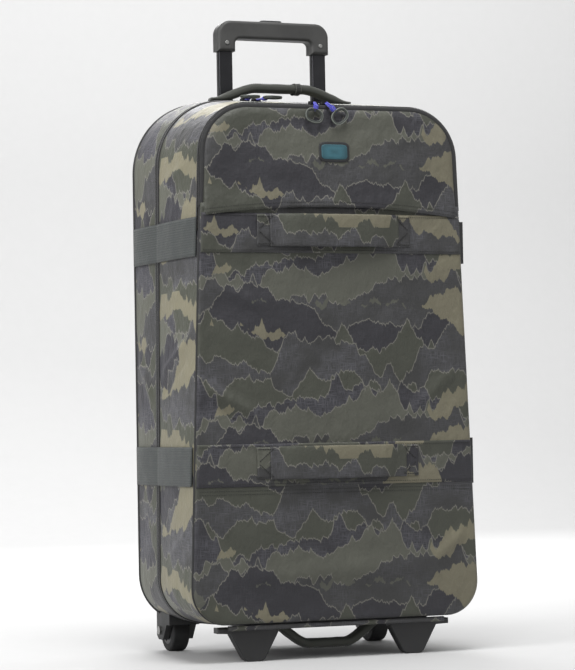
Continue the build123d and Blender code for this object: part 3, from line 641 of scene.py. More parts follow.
def metal_material(name, colour, roughness=0.35, brushed=True, metallic=1.0):
    """Anodised or plated metal with fine draw lines along its height."""
    material, w, bsdf = new_material(name, Roughness=roughness, Metallic=metallic)
    place = w.add("ShaderNodeTexCoord").outputs["Object"]
    lines = w.noise(w.scaled(place, 900, 900, 6 if brushed else 900), 1.0, 3.0, 0.6)
    broad = w.noise(place, 16.0, 3.0, 0.5)
    dark = tuple(c * 0.85 for c in colour[:3]) + (1.0,)
    light = tuple(min(1.0, c * 1.15) for c in colour[:3]) + (1.0,)
    w.feed(bsdf.inputs["Base Color"], w.mix(w.spread(broad, 0.35, 0.65), dark, light))
    w.feed(bsdf.inputs["Roughness"], w.spread(lines, 0.3, 0.7, roughness - 0.08, roughness + 0.08))
    w.feed(bsdf.inputs["Normal"], w.bump(lines, 0.03 * MM, 0.4))
    return material


def cord_material(name, colour, fleck):
    """Braided cord with flecks; the braid's grooves are darkened as painted shade."""
    material, w, bsdf = new_material(name, Roughness=0.6, Sheen_Weight=0.2)
    vector = w.add("ShaderNodeUVMap", uv_map="cloth").outputs[0]
    parts = w.add("ShaderNodeSeparateXYZ", {"Vector": vector}).outputs
    diagonal = w.math("SINE", w.math("MULTIPLY", w.math("ADD", parts[0], parts[1]), 3800.0))
    other = w.math("SINE", w.math("MULTIPLY", w.math("SUBTRACT", parts[0], parts[1]), 3800.0))
    braid = w.math("MAXIMUM", diagonal, other)
    flecks = w.spread(w.noise(w.scaled(vector, 420, 420), 1.0, 1.0), 0.6, 0.64)
    # Darker in the braid's grooves: painted shade.
    dark = tuple(c * 0.55 for c in colour[:3]) + (1.0,)
    base = w.mix(w.spread(braid, -0.2, 0.9), dark, colour)
    w.feed(bsdf.inputs["Base Color"], w.mix(flecks, base, fleck))
    w.feed(bsdf.inputs["Normal"], w.bump(braid, 0.2 * MM, 0.8))
    return material


CAMO = camo_group()
# Lit and shaded copies of one camo cloth: the front, flap, bands, handles and binding are darkened to 0.66 as painted
# shade, and the side and rear gussets are brightened to 1.12 as painted light from the left.
camo_front_painted_shade = camo_material("camo_front_painted_shade", brightness=0.66)
camo_side_painted_light = camo_material("camo_side_painted_light", brightness=1.12, turn=(0.31, 0.07), roughness=0.55)
camo_rear_painted_light = camo_material("camo_rear_painted_light", brightness=1.12, turn=(0.77, 0.02), roughness=0.55)
camo_handle_painted_shade = camo_material("camo_handle_painted_shade", brightness=0.66, turn=(0.13, 0.031))
webbing = woven_material("webbing_green", linear(50, 55, 54), pitch=1.6 * MM, rib=True)
black_webbing = woven_material("webbing_black", linear(34, 35, 33), pitch=1.6 * MM, rib=True)
tape_black = woven_material("zip_tape_black", linear(30, 30, 31), pitch=0.9 * MM)
lining = woven_material("lining_grey", linear(74, 76, 78), pitch=0.8 * MM, coordinates="object")
wrap_cloth = woven_material("wrap_cloth", linear(48, 50, 44), pitch=1.2 * MM)
thread = moulded_material("thread_grey", linear(122, 122, 112), roughness=0.7)
thread_dark = moulded_material("thread_dark", linear(30, 30, 29), roughness=0.7)
piping_black = moulded_material("piping_black", linear(26, 26, 27), roughness=0.5)
coil_black = moulded_material("coil_black", linear(24, 24, 25), roughness=0.4)
slider_metal = metal_material("slider_metal", linear(52, 52, 54), roughness=0.42, brushed=False)
plastic_black = moulded_material("plastic_black", linear(27, 27, 28), roughness=0.5)
plastic_board = moulded_material("plastic_board", linear(60, 61, 62), roughness=0.55)
grip_plastic = moulded_material("grip_plastic", linear(54, 54, 53), roughness=0.55, grain=2200.0)
button_plastic = moulded_material("button_plastic", linear(40, 40, 40), roughness=0.5)
tyre_rubber = moulded_material("tyre_rubber", linear(28, 28, 29), roughness=0.75, grain=700.0)
hub_plastic = moulded_material("hub_plastic", linear(58, 58, 60), roughness=0.4)
ring_plastic = moulded_material("ring_plastic", linear(96, 100, 94), roughness=0.5)
ring_core = moulded_material("ring_core", linear(46, 50, 47), roughness=0.55)
tube_metal = metal_material("tube_metal", linear(54, 54, 56), roughness=0.38)
bolt_metal = metal_material("bolt_metal", linear(150, 150, 148), roughness=0.35, brushed=False)
cord_blue = cord_material("cord_blue", linear(62, 62, 190), linear(196, 200, 226))
patch_black = moulded_material("patch_black", linear(24, 25, 27), roughness=0.6)
patch_field = moulded_material("patch_field", linear(32, 74, 84), roughness=0.6)

# ---- The cloth's own shape ---------------------------------------------------------------------------------


def smooth(value, start, finish):
    share = min(max((value - start) / (finish - start), 0.0), 1.0)
    return share * share * (3 - 2 * share)


def ripple(x, y, z, scale, seed=0.0):
    """Smooth noise of about -1 to 1."""
    return noise.fractal(Vector((x * scale + seed, y * scale, z * scale)), 0.9, 2.0, 3)


def crease(x, z, start, finish, width, depth):
    """A soft fold from start to finish in the plane of the cloth."""
    ax, az = start
    bx, bz = finish
    length = math.hypot(bx - ax, bz - az)
    share = ((x - ax) * (bx - ax) + (z - az) * (bz - az)) / length**2
    away = abs((x - ax) * (bz - az) - (z - az) * (bx - ax)) / length
    ends = smooth(share, -0.15, 0.25) * (1 - smooth(share, 0.75, 1.15))
    return depth * ends * math.exp(-((away / width) ** 2))


RIM_POINTS = rim(FRONT.y)[0]


def edge_distance(x, z):
    """How far a point of the front lies inside the outline."""
    a = RIM_POINTS
    b = np.roll(a, -1, axis=0)
    p = np.array([x, z])
    d = b - a
    share = np.clip(((p - a) * d).sum(axis=1) / (d * d).sum(axis=1), 0, 1)
    return float(np.min(np.linalg.norm(p - a - share[:, None] * d, axis=1)))


def rounded(distance, radius):
    return math.sqrt(max(0.0, 1 - (1 - min(distance / radius, 1.0)) ** 2))


def front_rise(x, z, flap=False):
    """How far the front cloth stands forward of the front plane."""
    inside = edge_distance(x, z)
    if flap:
        inside = max(inside - FLAP_INSET, 0.0)
    rise = (6.5 if flap else 3.4) * MM * rounded(inside, 15 * MM if flap else 7 * MM)
    rise += 4.6 * MM * smooth(inside, 0.008, 0.11)
    if flap:
        rise += 2.2 * MM * (1 - smooth(z, 0.655, 0.70))
    fade = smooth(inside, 0.0, 0.03)
    rise += 1.6 * MM * fade * ripple(x, 0.0, z, 9.0, 4.0)
    rise += 0.8 * MM * fade * ripple(x, 0.0, z, 36.0, 9.0)
    for fold in FRONT_FOLDS:
        rise += 2.3 * fade * crease(x, z, *fold)
    return rise


FRONT_FOLDS = (
    ((-0.205, 0.402), (-0.120, 0.352), 7 * MM, 2.6 * MM),
    ((-0.200, 0.380), (-0.140, 0.340), 5 * MM, -1.8 * MM),
    ((-0.195, 0.545), (-0.120, 0.520), 9 * MM, 1.2 * MM),
    ((0.195, 0.420), (0.120, 0.362), 9 * MM, 1.5 * MM),
    ((-0.150, 0.120), (0.160, 0.135), 16 * MM, 1.6 * MM),
    ((0.205, 0.180), (0.150, 0.140), 8 * MM, 1.6 * MM),
    ((-0.200, 0.200), (-0.150, 0.150), 8 * MM, -1.4 * MM),
)
SIDE_FOLDS = (
    ((-0.110, 0.470), (0.000, 0.418), 8 * MM, 2.4 * MM),
    ((-0.100, 0.440), (-0.010, 0.392), 6 * MM, -1.8 * MM),
    ((-0.120, 0.548), (-0.020, 0.530), 8 * MM, 1.4 * MM),
    ((0.035, 0.380), (0.110, 0.450), 9 * MM, 1.8 * MM),
    ((-0.120, 0.190), (-0.040, 0.150), 9 * MM, 1.6 * MM),
    ((-0.100, 0.725), (0.000, 0.700), 10 * MM, 1.4 * MM),
)


def side_rise(y, x, z, start, finish):
    """How far the gusset's cloth stands outside the frame's skin at depth y, between two sewn edges."""
    fade = smooth(y, start, start + 0.03) * (1 - smooth(y, finish - 0.03, finish))
    belly = math.sin(math.pi * (y - start) / (finish - start))
    rise = 2.6 * MM * belly + fade * 1.2 * MM * ripple(x, y, z, 8.0, 2.0) + fade * 0.55 * MM * ripple(x, y, z, 36.0)
    if abs(x) > 0.17:
        for fold in SIDE_FOLDS:
            rise += 1.6 * fade * crease(y, z, *fold)
    return rise


def gusset_column(y):
    """The rim at depth y from the left edge of the flat bottom, over the top, to its right edge."""
    points, normals, _ = rim(y)
    first, last = BOTTOM, RIM_COUNT - BOTTOM
    body, out = points[first : last + 1], normals[first : last + 1]
    shares = np.arange(4)[:, None] / 4
    left = np.array([-BASE_HALF, body[0][1]])
    right = np.array([BASE_HALF, body[-1][1]])
    down = np.array([0.0, -1.0])
    out = np.vstack([np.repeat(down[None], 4, axis=0), out, np.repeat(down[None], 4, axis=0)])
    left_run = left + shares * (body[0] - left)
    right_run = body[-1] + (shares + 0.25) * (right - body[-1])
    return np.vstack([left_run, body, right_run]), out


def arc_lengths(points):
    steps = np.linalg.norm(np.diff(points, axis=0), axis=1)
    return np.concatenate([[0.0], np.cumsum(steps)])


FRONT_GUSSET = (FACE_Y + 4.5 * MM, FRONT_ZIP[0])
REAR_GUSSET = (REAR_ZIP[1], BACK_Y - 4 * MM)


def skin_column(y):
    """The gusset's cloth at depth y: points in space and outward normals."""
    start, finish = FRONT_GUSSET if y <= FRONT_GUSSET[1] else REAR_GUSSET
    points, normals = gusset_column(y)
    space = []
    for (x, z), (nx, nz) in zip(points, normals):
        rise = side_rise(y, x, z, start, finish) * smooth(z, 0.05, 0.09)
        space.append((x + nx * rise, y, z + nz * rise))
    return np.array(space), np.stack([normals[:, 0], np.zeros(len(normals)), normals[:, 1]], axis=1)


COLUMNS = {}


def side_point(y, z, side, lift=0.0):
    """A point on the left (-1) or right (1) gusset at depth y and height z, and its outward normal."""
    key = round(float(y), 6)
    if key not in COLUMNS:
        COLUMNS[key] = skin_column(y)
    points, normals = COLUMNS[key]
    keep = [i for i in range(len(points)) if points[i][0] * side > 0.12 and points[i][2] < 0.80]
    keep.sort(key=lambda i: points[i][2])
    heights = [points[i][2] for i in keep]
    place = np.array([np.interp(z, heights, [points[i][k] for i in keep]) for k in range(3)])
    normal = np.array([np.interp(z, heights, [normals[i][k] for i in keep]) for k in range(3)])
    normal /= np.linalg.norm(normal)
    return place + lift * normal, normal


def gusset(name, start, finish, rows, material, body, replaced):
    depths = np.linspace(start, finish, rows)
    columns = [skin_column(y)[0] for y in depths]
    lengths = arc_lengths(columns[rows // 2][:, [0, 2]])
    uvs = [[(y if i < len(lengths) / 2 else -y + 0.4, v) for i, v in enumerate(lengths)] for y in depths]
    half = lengths[-1] / 2
    uvs = [[(u, v if v < half else 2 * half - v) for u, v in row] for row in uvs]
    obj = sheet_mesh(name, columns, uvs, material)
    thicken(obj, 1.4 * MM, lining)
    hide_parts(*replaced)
    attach(obj, body)
    return obj


def paint(material, *names):
    for name in names:
        target = nodes[name]
        if not target.material_slots:
            target.data.materials.append(material)
        for slot in target.material_slots:
            slot.material = material


def finish_piece(obj, body, replaced=()):
    if replaced:
        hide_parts(*replaced)
    if body == "flap fold":
        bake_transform(obj)
    else:
        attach(obj, body)
    return obj


def cut_away(obj, low, high):
    """Remove the faces whose middle lies in a box."""
    mesh = obj.data
    work = bmesh.new()
    work.from_mesh(mesh)
    inside = [
        f
        for f in work.faces
        if all(low[k] <= f.calc_center_median()[k] <= high[k] for k in range(3))
    ]
    bmesh.ops.delete(work, geom=inside, context="FACES")
    work.to_mesh(mesh)
    work.free()


gusset(
    "front_gusset",
    *FRONT_GUSSET,
    44,
    camo_side_painted_light,
    "front_shell",
    ("front_gusset_left", "front_gusset_right", "front_gusset_top"),
)
rear_gusset = gusset("rear_gusset_cloth", *REAR_GUSSET, 30, camo_rear_painted_light, "root", ("rear_gusset",))
for side in ("left", "right"):
    low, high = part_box("wheel_housing_" + side)
    grow = 1.5 * MM
    cut_away(rear_gusset, [v - grow for v in low], [v + grow for v in high])


# ---- Front: lower panel, flap, bands ------------------------------------------------------------------------


def half_widths(points):
    """Heights and half widths of an outline, widest where it is level."""
    widest = {}
    for x, z in points:
        if x <= 0:
            height = round(float(z), 6)
            widest[height] = max(widest.get(height, 0.0), float(-x))
    heights = sorted(widest)
    return heights, [widest[height] for height in heights]


FRONT_WIDTHS = half_widths(RIM_POINTS)
BACK_WIDTHS = half_widths(rim(BACK.y)[0])


def half_width(z):
    """Half width of the front outline at height z."""
    return float(np.interp(z, *FRONT_WIDTHS))


def back_half(z):
    """Half width of the back outline at height z."""
    return float(np.interp(z, *BACK_WIDTHS))


def hem_height(x):
    return FLAP_SEAM + 7 * MM - 14 * MM * (abs(x) / 0.21) ** 2.2


def spread_columns(count, half):
    """Evenly swept columns from side to side, closer together near the edges."""
    shares = -np.cos(np.linspace(0, math.pi, count))
    even = np.linspace(-1, 1, count)
    return half * (0.45 * shares + 0.55 * even)


def front_surface(name, heights, material, flap=False, lift=0.0, inset=0.0, base=0.0, columns=90):
    """A panel over the front outline; heights(x share) gives each row's height at each column."""
    rows = []
    for level in heights:
        row = []
        for share in spread_columns(columns, 1.0):
            z = level(share) if callable(level) else level
            x = share * (half_width(z) - inset)
            row.append((x, FACE_Y + base - front_rise(x, z, flap) - lift, z))
        rows.append(row)
    uvs = [[(x, z) for x, _, z in row] for row in rows]
    return sheet_mesh(name, rows, uvs, material)


panel_levels = np.concatenate([
    FRONT.low + np.array([0.3, 1, 2, 3.5, 5.5, 8, 11, 15, 20, 26, 33, 41, 50]) * MM,
    np.linspace(FRONT.low + 57 * MM, FLAP_SEAM + 12 * MM, 84),
])
front_panel = front_surface("front_panel_cloth", panel_levels, camo_front_painted_shade, inset=0.3 * MM)
thicken(front_panel, 2.0 * MM, lining, offset=-1.0)
finish_piece(front_panel, "front_shell", ("front_panel",))

flap_top = FRONT.high - FLAP_INSET


def flap_level(share_up):
    def level(share):
        x = share * half_width(FLAP_SEAM)
        low = hem_height(x)
        return low + share_up * (flap_top - low)
    return level


flap_shares = np.concatenate([np.linspace(0, 0.86, 46), 1 - 0.14 * (1 - np.linspace(0, 1, 22)[1:]) ** 1.9])
flap = front_surface(
    "flap_cloth", [flap_level(s) for s in flap_shares], camo_front_painted_shade, flap=True, inset=FLAP_INSET, base=1.0 * MM
)
thicken(flap, 2.2 * MM, lining, offset=-1.0)
finish_piece(flap, "flap fold", ("top_flap",))


def hem_path(rise, lift=0.6 * MM, limit=0.985):
    xs = np.linspace(-limit, limit, 160) * half_width(FLAP_SEAM)
    return [(x, FACE_Y + 1 * MM - front_rise(x, hem_height(x) + rise, True) - lift, hem_height(x) + rise) for x in xs]


FORWARD = (0.0, -1.0, 0.0)
hem_stitches = join("flap_hem_stitches", [
    stitch_row("hem_stitch_a", hem_path(3 * MM), FORWARD, thread_dark),
    stitch_row("hem_stitch_b", hem_path(8 * MM), FORWARD, thread_dark),
])
finish_piece(hem_stitches, "flap fold")


def front_stitches(name, heights, inset, lift):
    """Level rows of stitches across the front."""
    rows = []
    for z in heights:
        xs = np.linspace(-1, 1, 180) * (half_width(z) - inset)
        path = [(x, FACE_Y - front_rise(x, z) - lift, z) for x in xs]
        rows.append(stitch_row(name + "_row", path, FORWARD, thread_dark))
    finish_piece(join(name, rows), "front_shell")


def band(name, low, high, replaced):
    """A strap sewn flat across the front."""
    rows = [
        [
            (x, FACE_Y - front_rise(x, z) - lift, z)
            for x in spread_columns(100, half_width(z) - 1.5 * MM)
        ]
        for z, lift in zip(
            np.concatenate([[low, low + 0.4 * MM, low + 1.6 * MM], np.linspace(low + 4 * MM, high - 4 * MM, 14),
                            [high - 1.6 * MM, high - 0.4 * MM, high]]),
            np.array([0.2, 1.2, 1.8] + [2.0] * 14 + [1.8, 1.2, 0.2]) * MM,
        )
    ]
    obj = sheet_mesh(name, rows, [[(x + 0.07, z + 0.055) for x, _, z in row] for row in rows], camo_front_painted_shade)
    thicken(obj, 1.2 * MM, None)
    finish_piece(obj, "front_shell", replaced)
    front_stitches(name + "_stitches", (low + 4 * MM, high - 4 * MM), 4 * MM, 2.5 * MM)


band("upper_band_cloth", *UPPER_BAND, ("upper_strap_band",))
band("lower_band_cloth", *LOWER_BAND, ("lower_strap_band",))
front_stitches("front_seam_stitches", SEAM_HEIGHTS, 6 * MM, 0.5 * MM)


# ---- Padded handles ----------------------------------------------------------------------------------------------


def pad(name, path, half_wide, half_thick, up, material, body, replaced, ends=0.4, power=3.4, seed=1.0,
        fold=0.0):
    """A padded handle along a path, thinner where its ends are sewn down, with soft wrinkles."""
    def shape(share):
        taper = ends + (1 - ends) * smooth(min(share, 1 - share), 0.0, 0.14)
        outline = super_ellipse(half_wide, half_thick * taper, power, 64)
        for i, (a, b) in enumerate(outline):
            wobble = 1 + 0.05 * ripple(a * 1.0, share * 0.22, b, 60.0, seed)
            outline[i] = (a * (1 - 0.02 * (1 - taper)), b * wobble)
            if fold and b > 0:
                outline[i][1] -= fold * math.exp(-((a / (4 * MM)) ** 2)) * math.exp(-(((share - 0.5) / 0.2) ** 2))
        return outline
    obj = sweep(name, path, shape, material, up=up, lengthwise=True)
    finish_piece(obj, body, replaced)
    return obj


def front_handle(name, node, seed):
    low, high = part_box(node)
    middle_z = (low[2] + high[2]) / 2
    half = (high[0] - low[0]) / 2
    wide = (high[2] - low[2]) / 2
    foot = 18 * MM
    path = []
    for x in np.linspace(-half, half, 90):
        rise = smooth(half - abs(x), foot * 0.5, foot * 2.6)
        face = FACE_Y - front_rise(x, middle_z) - 2 * MM
        out = low[1] + 4.5 * MM
        path.append((x, (face - 2.2 * MM) * (1 - rise) + out * rise, middle_z))
    pad(name, path, wide, 4.5 * MM, FORWARD, camo_handle_painted_shade, "front_shell", (node,), seed=seed, power=5,
        fold=1.6 * MM)
    rows = []
    for side in (-1, 1):
        start = side * (half - 4 * MM)
        finish = side * (half + 21 * MM)
        for up in (-1, 1):
            corner = middle_z + up * (wide - 4 * MM)
            for a, b in (
                ((start, corner), (finish, corner)),
                ((start, corner), (finish - side * 2 * MM, middle_z)),
            ):
                points = []
                for t in np.linspace(0, 1, 24):
                    x = a[0] + t * (b[0] - a[0])
                    z = a[1] + t * (b[1] - a[1])
                    lift = 4.2 * MM if abs(x) > half else 6.4 * MM
                    points.append((x, FACE_Y - front_rise(x, z) - lift, z))
                rows.append(stitch_row("tab_row", points, FORWARD, thread_dark, length=3.3 * MM, width=1.5 * MM))
    finish_piece(join(name + "_stitches", rows), "front_shell")
    tabs = []
    for side in (-1, 1):
        grid = []
        for z in np.linspace(middle_z - wide + 1 * MM, middle_z + wide - 1 * MM, 16):
            grid.append([
                (x, FACE_Y - front_rise(x, z) - 3.4 * MM, z)
                for x in side * np.linspace(half - 10 * MM, half + 20 * MM, 14)
            ])
        tab = sheet_mesh("tab", grid, [[(x, z) for x, _, z in row] for row in grid], camo_handle_painted_shade, flip=side < 0)
        thicken(tab, 1.6 * MM, None)
        tabs.append(tab)
    return tabs


tab_parts = front_handle("front_handle_upper_pad", "front_handle_upper", 3.0)
tab_parts += front_handle("front_handle_lower_pad", "front_handle_lower", 8.0)
tab_cloth = join("handle_tab_cloth", [applied(part) for part in tab_parts])
finish_piece(tab_cloth, "front_shell", ("handle_tabs",))


def arched_handle(name, node, seed):
    """The carry handle on the top or the underside, from its CAD box."""
    low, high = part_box(node)
    top = node == "top_handle"
    half = (high[0] - low[0]) / 2
    y = (low[1] + high[1]) / 2
    wide = (high[1] - low[1]) / 2 - 0.5 * MM
    thick = 7 * MM
    near, far = (low[2] + 2.5 * MM, high[2] - thick) if top else (high[2] - 2.5 * MM, low[2] + thick)
    path = []
    for x in np.linspace(-half, half, 110):
        share = abs(x) / half
        rise = 1 - smooth(share, 0.34, 0.97)
        path.append((x, y, near + (far - near) * rise))
    up = (0, 0, 1) if top else (0, 0, -1)
    pad(name, path, wide, thick, up, wrap_cloth, "root", (node,), ends=0.35, power=2.6, seed=seed)
    rows = []
    for offset in (-wide * 0.55, wide * 0.55):
        track = []
        for x, py, z in path[22:88]:
            height = thick * (1 - abs(offset / wide) ** 2.6) ** (1 / 2.6)
            track.append((x, py + offset, z + (height + 0.4 * MM) * up[2]))
        rows.append(stitch_row(name + "_row", track, up, thread_dark))
    finish_piece(join(name + "_stitches", rows), "root")
    return path


top_path = arched_handle("top_handle_pad", "top_handle", 5.0)
loop_x = 26 * MM
loop_centre = min(top_path, key=lambda p: abs(p[0] - loop_x))
loop_ring = [
    (loop_centre[0], loop_centre[1] + a * 1.08, loop_centre[2] + b * 1.12)
    for a, b in super_ellipse(12 * MM, 7.4 * MM, 2.6, 60)
]
loop_band = sweep("top_handle_loop", loop_ring, super_ellipse(5 * MM, 0.7 * MM, 4.0, 20), black_webbing,
                  up=[(0, y - loop_centre[1], z - loop_centre[2]) for _, y, z in loop_ring], closed=True)
finish_piece(loop_band, "root")
loop_rows = []
for shift in (-4 * MM, 4 * MM):
    row = [(x + shift, y + (y - loop_centre[1]) * 0.07, z + (z - loop_centre[2]) * 0.1) for x, y, z in loop_ring]
    ups = [(0, y - loop_centre[1], z - loop_centre[2]) for _, y, z in loop_ring]
    loop_rows.append(stitch_row("loop_row", row, ups, thread))
finish_piece(join("top_handle_loop_stitches", loop_rows), "root")
arched_handle("bottom_handle_pad", "bottom_handle", 6.0)


# ---- Piping, zips -----------------------------------------------------------------------------------------------


def rim_path(y, lift=0.0, part=None):
    points, normals, _ = rim(y)
    points = points + lift * normals
    path = [(x, y, z) for x, z in points]
    ups = [(nx, 0.0, nz) for nx, nz in normals]
    return (path, ups) if part is None else ([path[i] for i in part], [ups[i] for i in part])


def loop_piping(name, y, radius, lift, material, body, replaced):
    path, ups = rim_path(y, lift)
    obj = sweep(name, path, circle(radius, 14), material, up=ups, closed=True)
    finish_piece(obj, body, replaced)


loop_piping("front_piping_cord", FACE_Y + 2.4 * MM, 2.3 * MM, -1.2 * MM, piping_black, "front_shell", ("front_piping",))
loop_piping("rear_piping_cord", BACK_Y - 3.0 * MM, 3.4 * MM, -1.4 * MM, piping_black, "root", ("rear_piping",))


def rim_strip(name, start, finish, lift, material, body, replaced=(), part=None, rows=6, crown=0.0):
    """A flat tape along the gusset's rim."""
    depths = np.linspace(start, finish, rows)
    grid = []
    for k, y in enumerate(depths):
        points, normals = gusset_column(y)
        rise = lift + crown * math.sin(math.pi * k / (rows - 1))
        grid.append([(x + nx * rise, y, z + nz * rise) for (x, z), (nx, nz) in zip(points, normals)])
    if part is not None:
        grid = [row[part] for row in np.array(grid)]
    lengths = arc_lengths(np.array(grid[0])[:, [0, 2]])
    uvs = [[(y, v) for v in lengths] for y in depths]
    obj = sheet_mesh(name, grid, uvs, material)
    thicken(obj, 1.0 * MM, None)
    finish_piece(obj, body, replaced)
    return obj


def zip_teeth(name, y, sideways, material, body, spacing=2.4 * MM, part=None, lift=1.4 * MM):
    points, normals = gusset_column(y)
    path = [(x + nx * lift, y, z + nz * lift) for (x, z), (nx, nz) in zip(points, normals)]
    ups = [(nx, 0.0, nz) for nx, nz in normals]
    if part is not None:
        path, ups = path[part], ups[part]
    places, directions, wanted, lengths = along(path, spacing, offset=(spacing / 2 if sideways > 0 else 0.0))
    normals3 = np.stack([np.interp(wanted, lengths, np.array(ups)[:, k]) for k in range(3)], axis=1)
    places = places + np.array([0, sideways * 0.7 * MM, 0])
    teeth = beads(name, places, [np.array([0, 1.0, 0])] * len(places), normals3, 3.2 * MM, 1.5 * MM, 1.6 * MM, material)
    finish_piece(teeth, body)


middle = (FRONT_ZIP[1] + REAR_ZIP[0]) / 2
rim_strip("front_zip_tape_cloth", FRONT_ZIP[0] - 1.5 * MM, middle - 0.2 * MM, 1.2 * MM, tape_black, "front_shell",
          ("main_zip_front_tape",), crown=0.5 * MM)
rim_strip("rear_zip_tape_cloth", middle + 0.2 * MM, REAR_ZIP[1] + 1.5 * MM, 1.2 * MM, tape_black, "root",
          ("main_zip_rear_tape",), crown=0.5 * MM)
zip_teeth("front_zip_teeth", middle - 1.1 * MM, 1, coil_black, "front_shell")
zip_teeth("rear_zip_teeth", middle + 1.1 * MM, -1, coil_black, "root")

# The pocket zip runs round the flap, just behind its edge.
column_front = gusset_column(FRONT.y)[0]
flap_part = [i for i in range(len(column_front)) if column_front[i][1] > FLAP_SEAM - 30 * MM]
flap_run = slice(flap_part[0], flap_part[-1] + 1)
rim_strip("flap_zip_shell_tape", FACE_Y + 4.6 * MM, FACE_Y + 9.5 * MM, 1.6 * MM, tape_black, "front_shell",
          ("flap_zip_lid_tape",), part=flap_run)
flap_only = [i for i in range(len(column_front)) if column_front[i][1] > FLAP_SEAM + 2 * MM]
flap_edge = slice(flap_only[0], flap_only[-1] + 1)
rim_strip("flap_zip_flap_tape", FACE_Y + 0.2 * MM, FACE_Y + 4.4 * MM, 1.6 * MM, tape_black, "flap fold",
          ("flap_zip_tape",), part=flap_edge)


def face_ring(name, start, finish, part, material, body, depth):
    """A tape lying in the front plane, between two insets from the outline."""
    grid = []
    for share in np.linspace(0, 1, 7):
        inset = start + share * (finish - start)
        points, normals = gusset_column(FRONT.y)
        crown = depth * math.sin(math.pi * (0.15 + 0.7 * share))
        grid.append([(x - nx * inset, FACE_Y - crown, z - nz * inset) for (x, z), (nx, nz) in zip(points, normals)])
    grid = [row[part] for row in np.array(grid)]
    lengths = arc_lengths(np.array(grid[0])[:, [0, 2]])
    uvs = [[(start + k * MM, v) for v in lengths] for k in range(7)]
    obj = sheet_mesh(name, grid, uvs, material, flip=True)
    thicken(obj, 1.0 * MM, None)
    finish_piece(obj, body)


# Black tape on the flap's front edge: partly the zip's tape, partly painted shade of the flap's rolled edge.
face_ring("flap_zip_edge_tape_and_painted_shade", -0.6 * MM, FLAP_INSET + 2 * MM, flap_edge, tape_black, "flap fold",
          1.6 * MM)
zip_teeth("flap_zip_teeth", FACE_Y + 5.4 * MM, -1, coil_black, "front_shell", part=flap_run, lift=2.0 * MM)
zip_teeth("flap_zip_teeth_flap", FACE_Y + 3.4 * MM, 1, coil_black, "flap fold", part=flap_edge,
          lift=2.0 * MM)


# ---- Side straps -------------------------------------------------------------------------------------------------


def side_strip(name, side, start, finish, low, high, material, columns=60, lift=1.7 * MM):
    grid = []
    for z in np.linspace(low, high, 16):
        grid.append([side_point(y, z, side, lift)[0] for y in np.linspace(start, finish, columns)])
    uvs = [[(y, z) for y in np.linspace(start, finish, columns)] for z in np.linspace(low, high, 16)]
    obj = sheet_mesh(name, grid, uvs, material, flip=side > 0)
    thicken(obj, 1.8 * MM, None)
    return obj


wings, wing_stitches = [], []
wing_low, wing_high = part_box("compression_wings")
for low, high in SIDE_STRAPS:
    wings.append(applied(side_strip("wing", -1, wing_low[1] + 0.5 * MM, wing_high[1] - 0.5 * MM, low, high, webbing)))
    depths = np.linspace(wing_low[1] + 3 * MM, wing_high[1] - 3 * MM, 60)
    heights = np.linspace(low + 3 * MM, high - 3 * MM, 20)
    runs = [[(y, z) for y in depths] for z in (low + 3.5 * MM, high - 3.5 * MM)]
    runs += [[(y, z) for z in heights] for y in (wing_low[1] + 5 * MM, wing_low[1] + 13 * MM)]
    for run in runs:
        samples = [side_point(y, z, -1, 2.0 * MM) for y, z in run]
        wing_stitches.append(stitch_row("wing_row", [p for p, _ in samples], [n for _, n in samples], thread_dark))
finish_piece(join("side_wings", wings), "front_shell", ("compression_wings",))
finish_piece(join("side_wing_stitches", wing_stitches), "front_shell")

end_low, end_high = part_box("strap_ends")
ends = [applied(side_strip("end", 1, end_low[1], end_high[1], *strap, webbing, columns=8)) for strap in SIDE_STRAPS]
finish_piece(join("strap_end_cloth", ends), "front_shell", ("strap_ends",))


# ---- Patch, binding, back, base, inside ----------------------------------------------------------------------------
patch_low, patch_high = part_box("flap_patch")
patch_centre = ((patch_low[0] + patch_high[0]) / 2, (patch_low[2] + patch_high[2]) / 2)
patch_half = ((patch_high[0] - patch_low[0]) / 2, (patch_high[2] - patch_low[2]) / 2)


def patch_plate(name, share, lift, material, power):
    outline = super_ellipse(patch_half[0] * share[0], patch_half[1] * share[1], power, 72)
    rows = []
    for size, extra in ((0.0, 0.0), (0.5, 0.0), (0.9, 0.0), (0.985, -0.1 * MM), (1.0, -0.5 * MM), (1.0, -2.2 * MM)):
        row = []
        for a, b in outline:
            x, z = patch_centre[0] + a * size, patch_centre[1] + b * size
            row.append((x, FACE_Y + 1 * MM - front_rise(x, z, True) - lift - extra, z))
        rows.append(row)
    uvs = [[(x, z) for x, _, z in row] for row in rows]
    return sheet_mesh(name, rows, uvs, material, wrap=True, flip=True)


patch = patch_plate("flap_badge", (1.0, 1.0), 1.6 * MM, patch_black, 5.0)
finish_piece(patch, "flap", ("flap_patch",))
finish_piece(patch_plate("flap_badge_field", (0.86, 0.74), 2.0 * MM, patch_field, 6.0), "flap")

binding_low, binding_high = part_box("bottom_binding")
half = (binding_high[0] - binding_low[0]) / 2
binding_path = [(x, (binding_low[1] + binding_high[1]) / 2, (binding_low[2] + binding_high[2]) / 2)
                for x in np.linspace(-half, half, 80)]
binding_shape = super_ellipse(3.7 * MM, 3.8 * MM, 3.0, 28)
binding = sweep("bottom_binding_cloth", binding_path, binding_shape, camo_handle_painted_shade, up=FORWARD)
finish_piece(binding, "root", ("bottom_binding",))


def field(name, xs, zs, place, material, body, replaced, thickness=1.6 * MM, flip=False):
    """A cloth field through place(x, z)."""
    grid = [[place(x, z) for x in xs] for z in zs]
    obj = sheet_mesh(name, grid, [[(x, z) for x in xs] for z in zs], material, flip=flip)
    if thickness:
        thicken(obj, thickness, None)
    return finish_piece(obj, body, replaced)


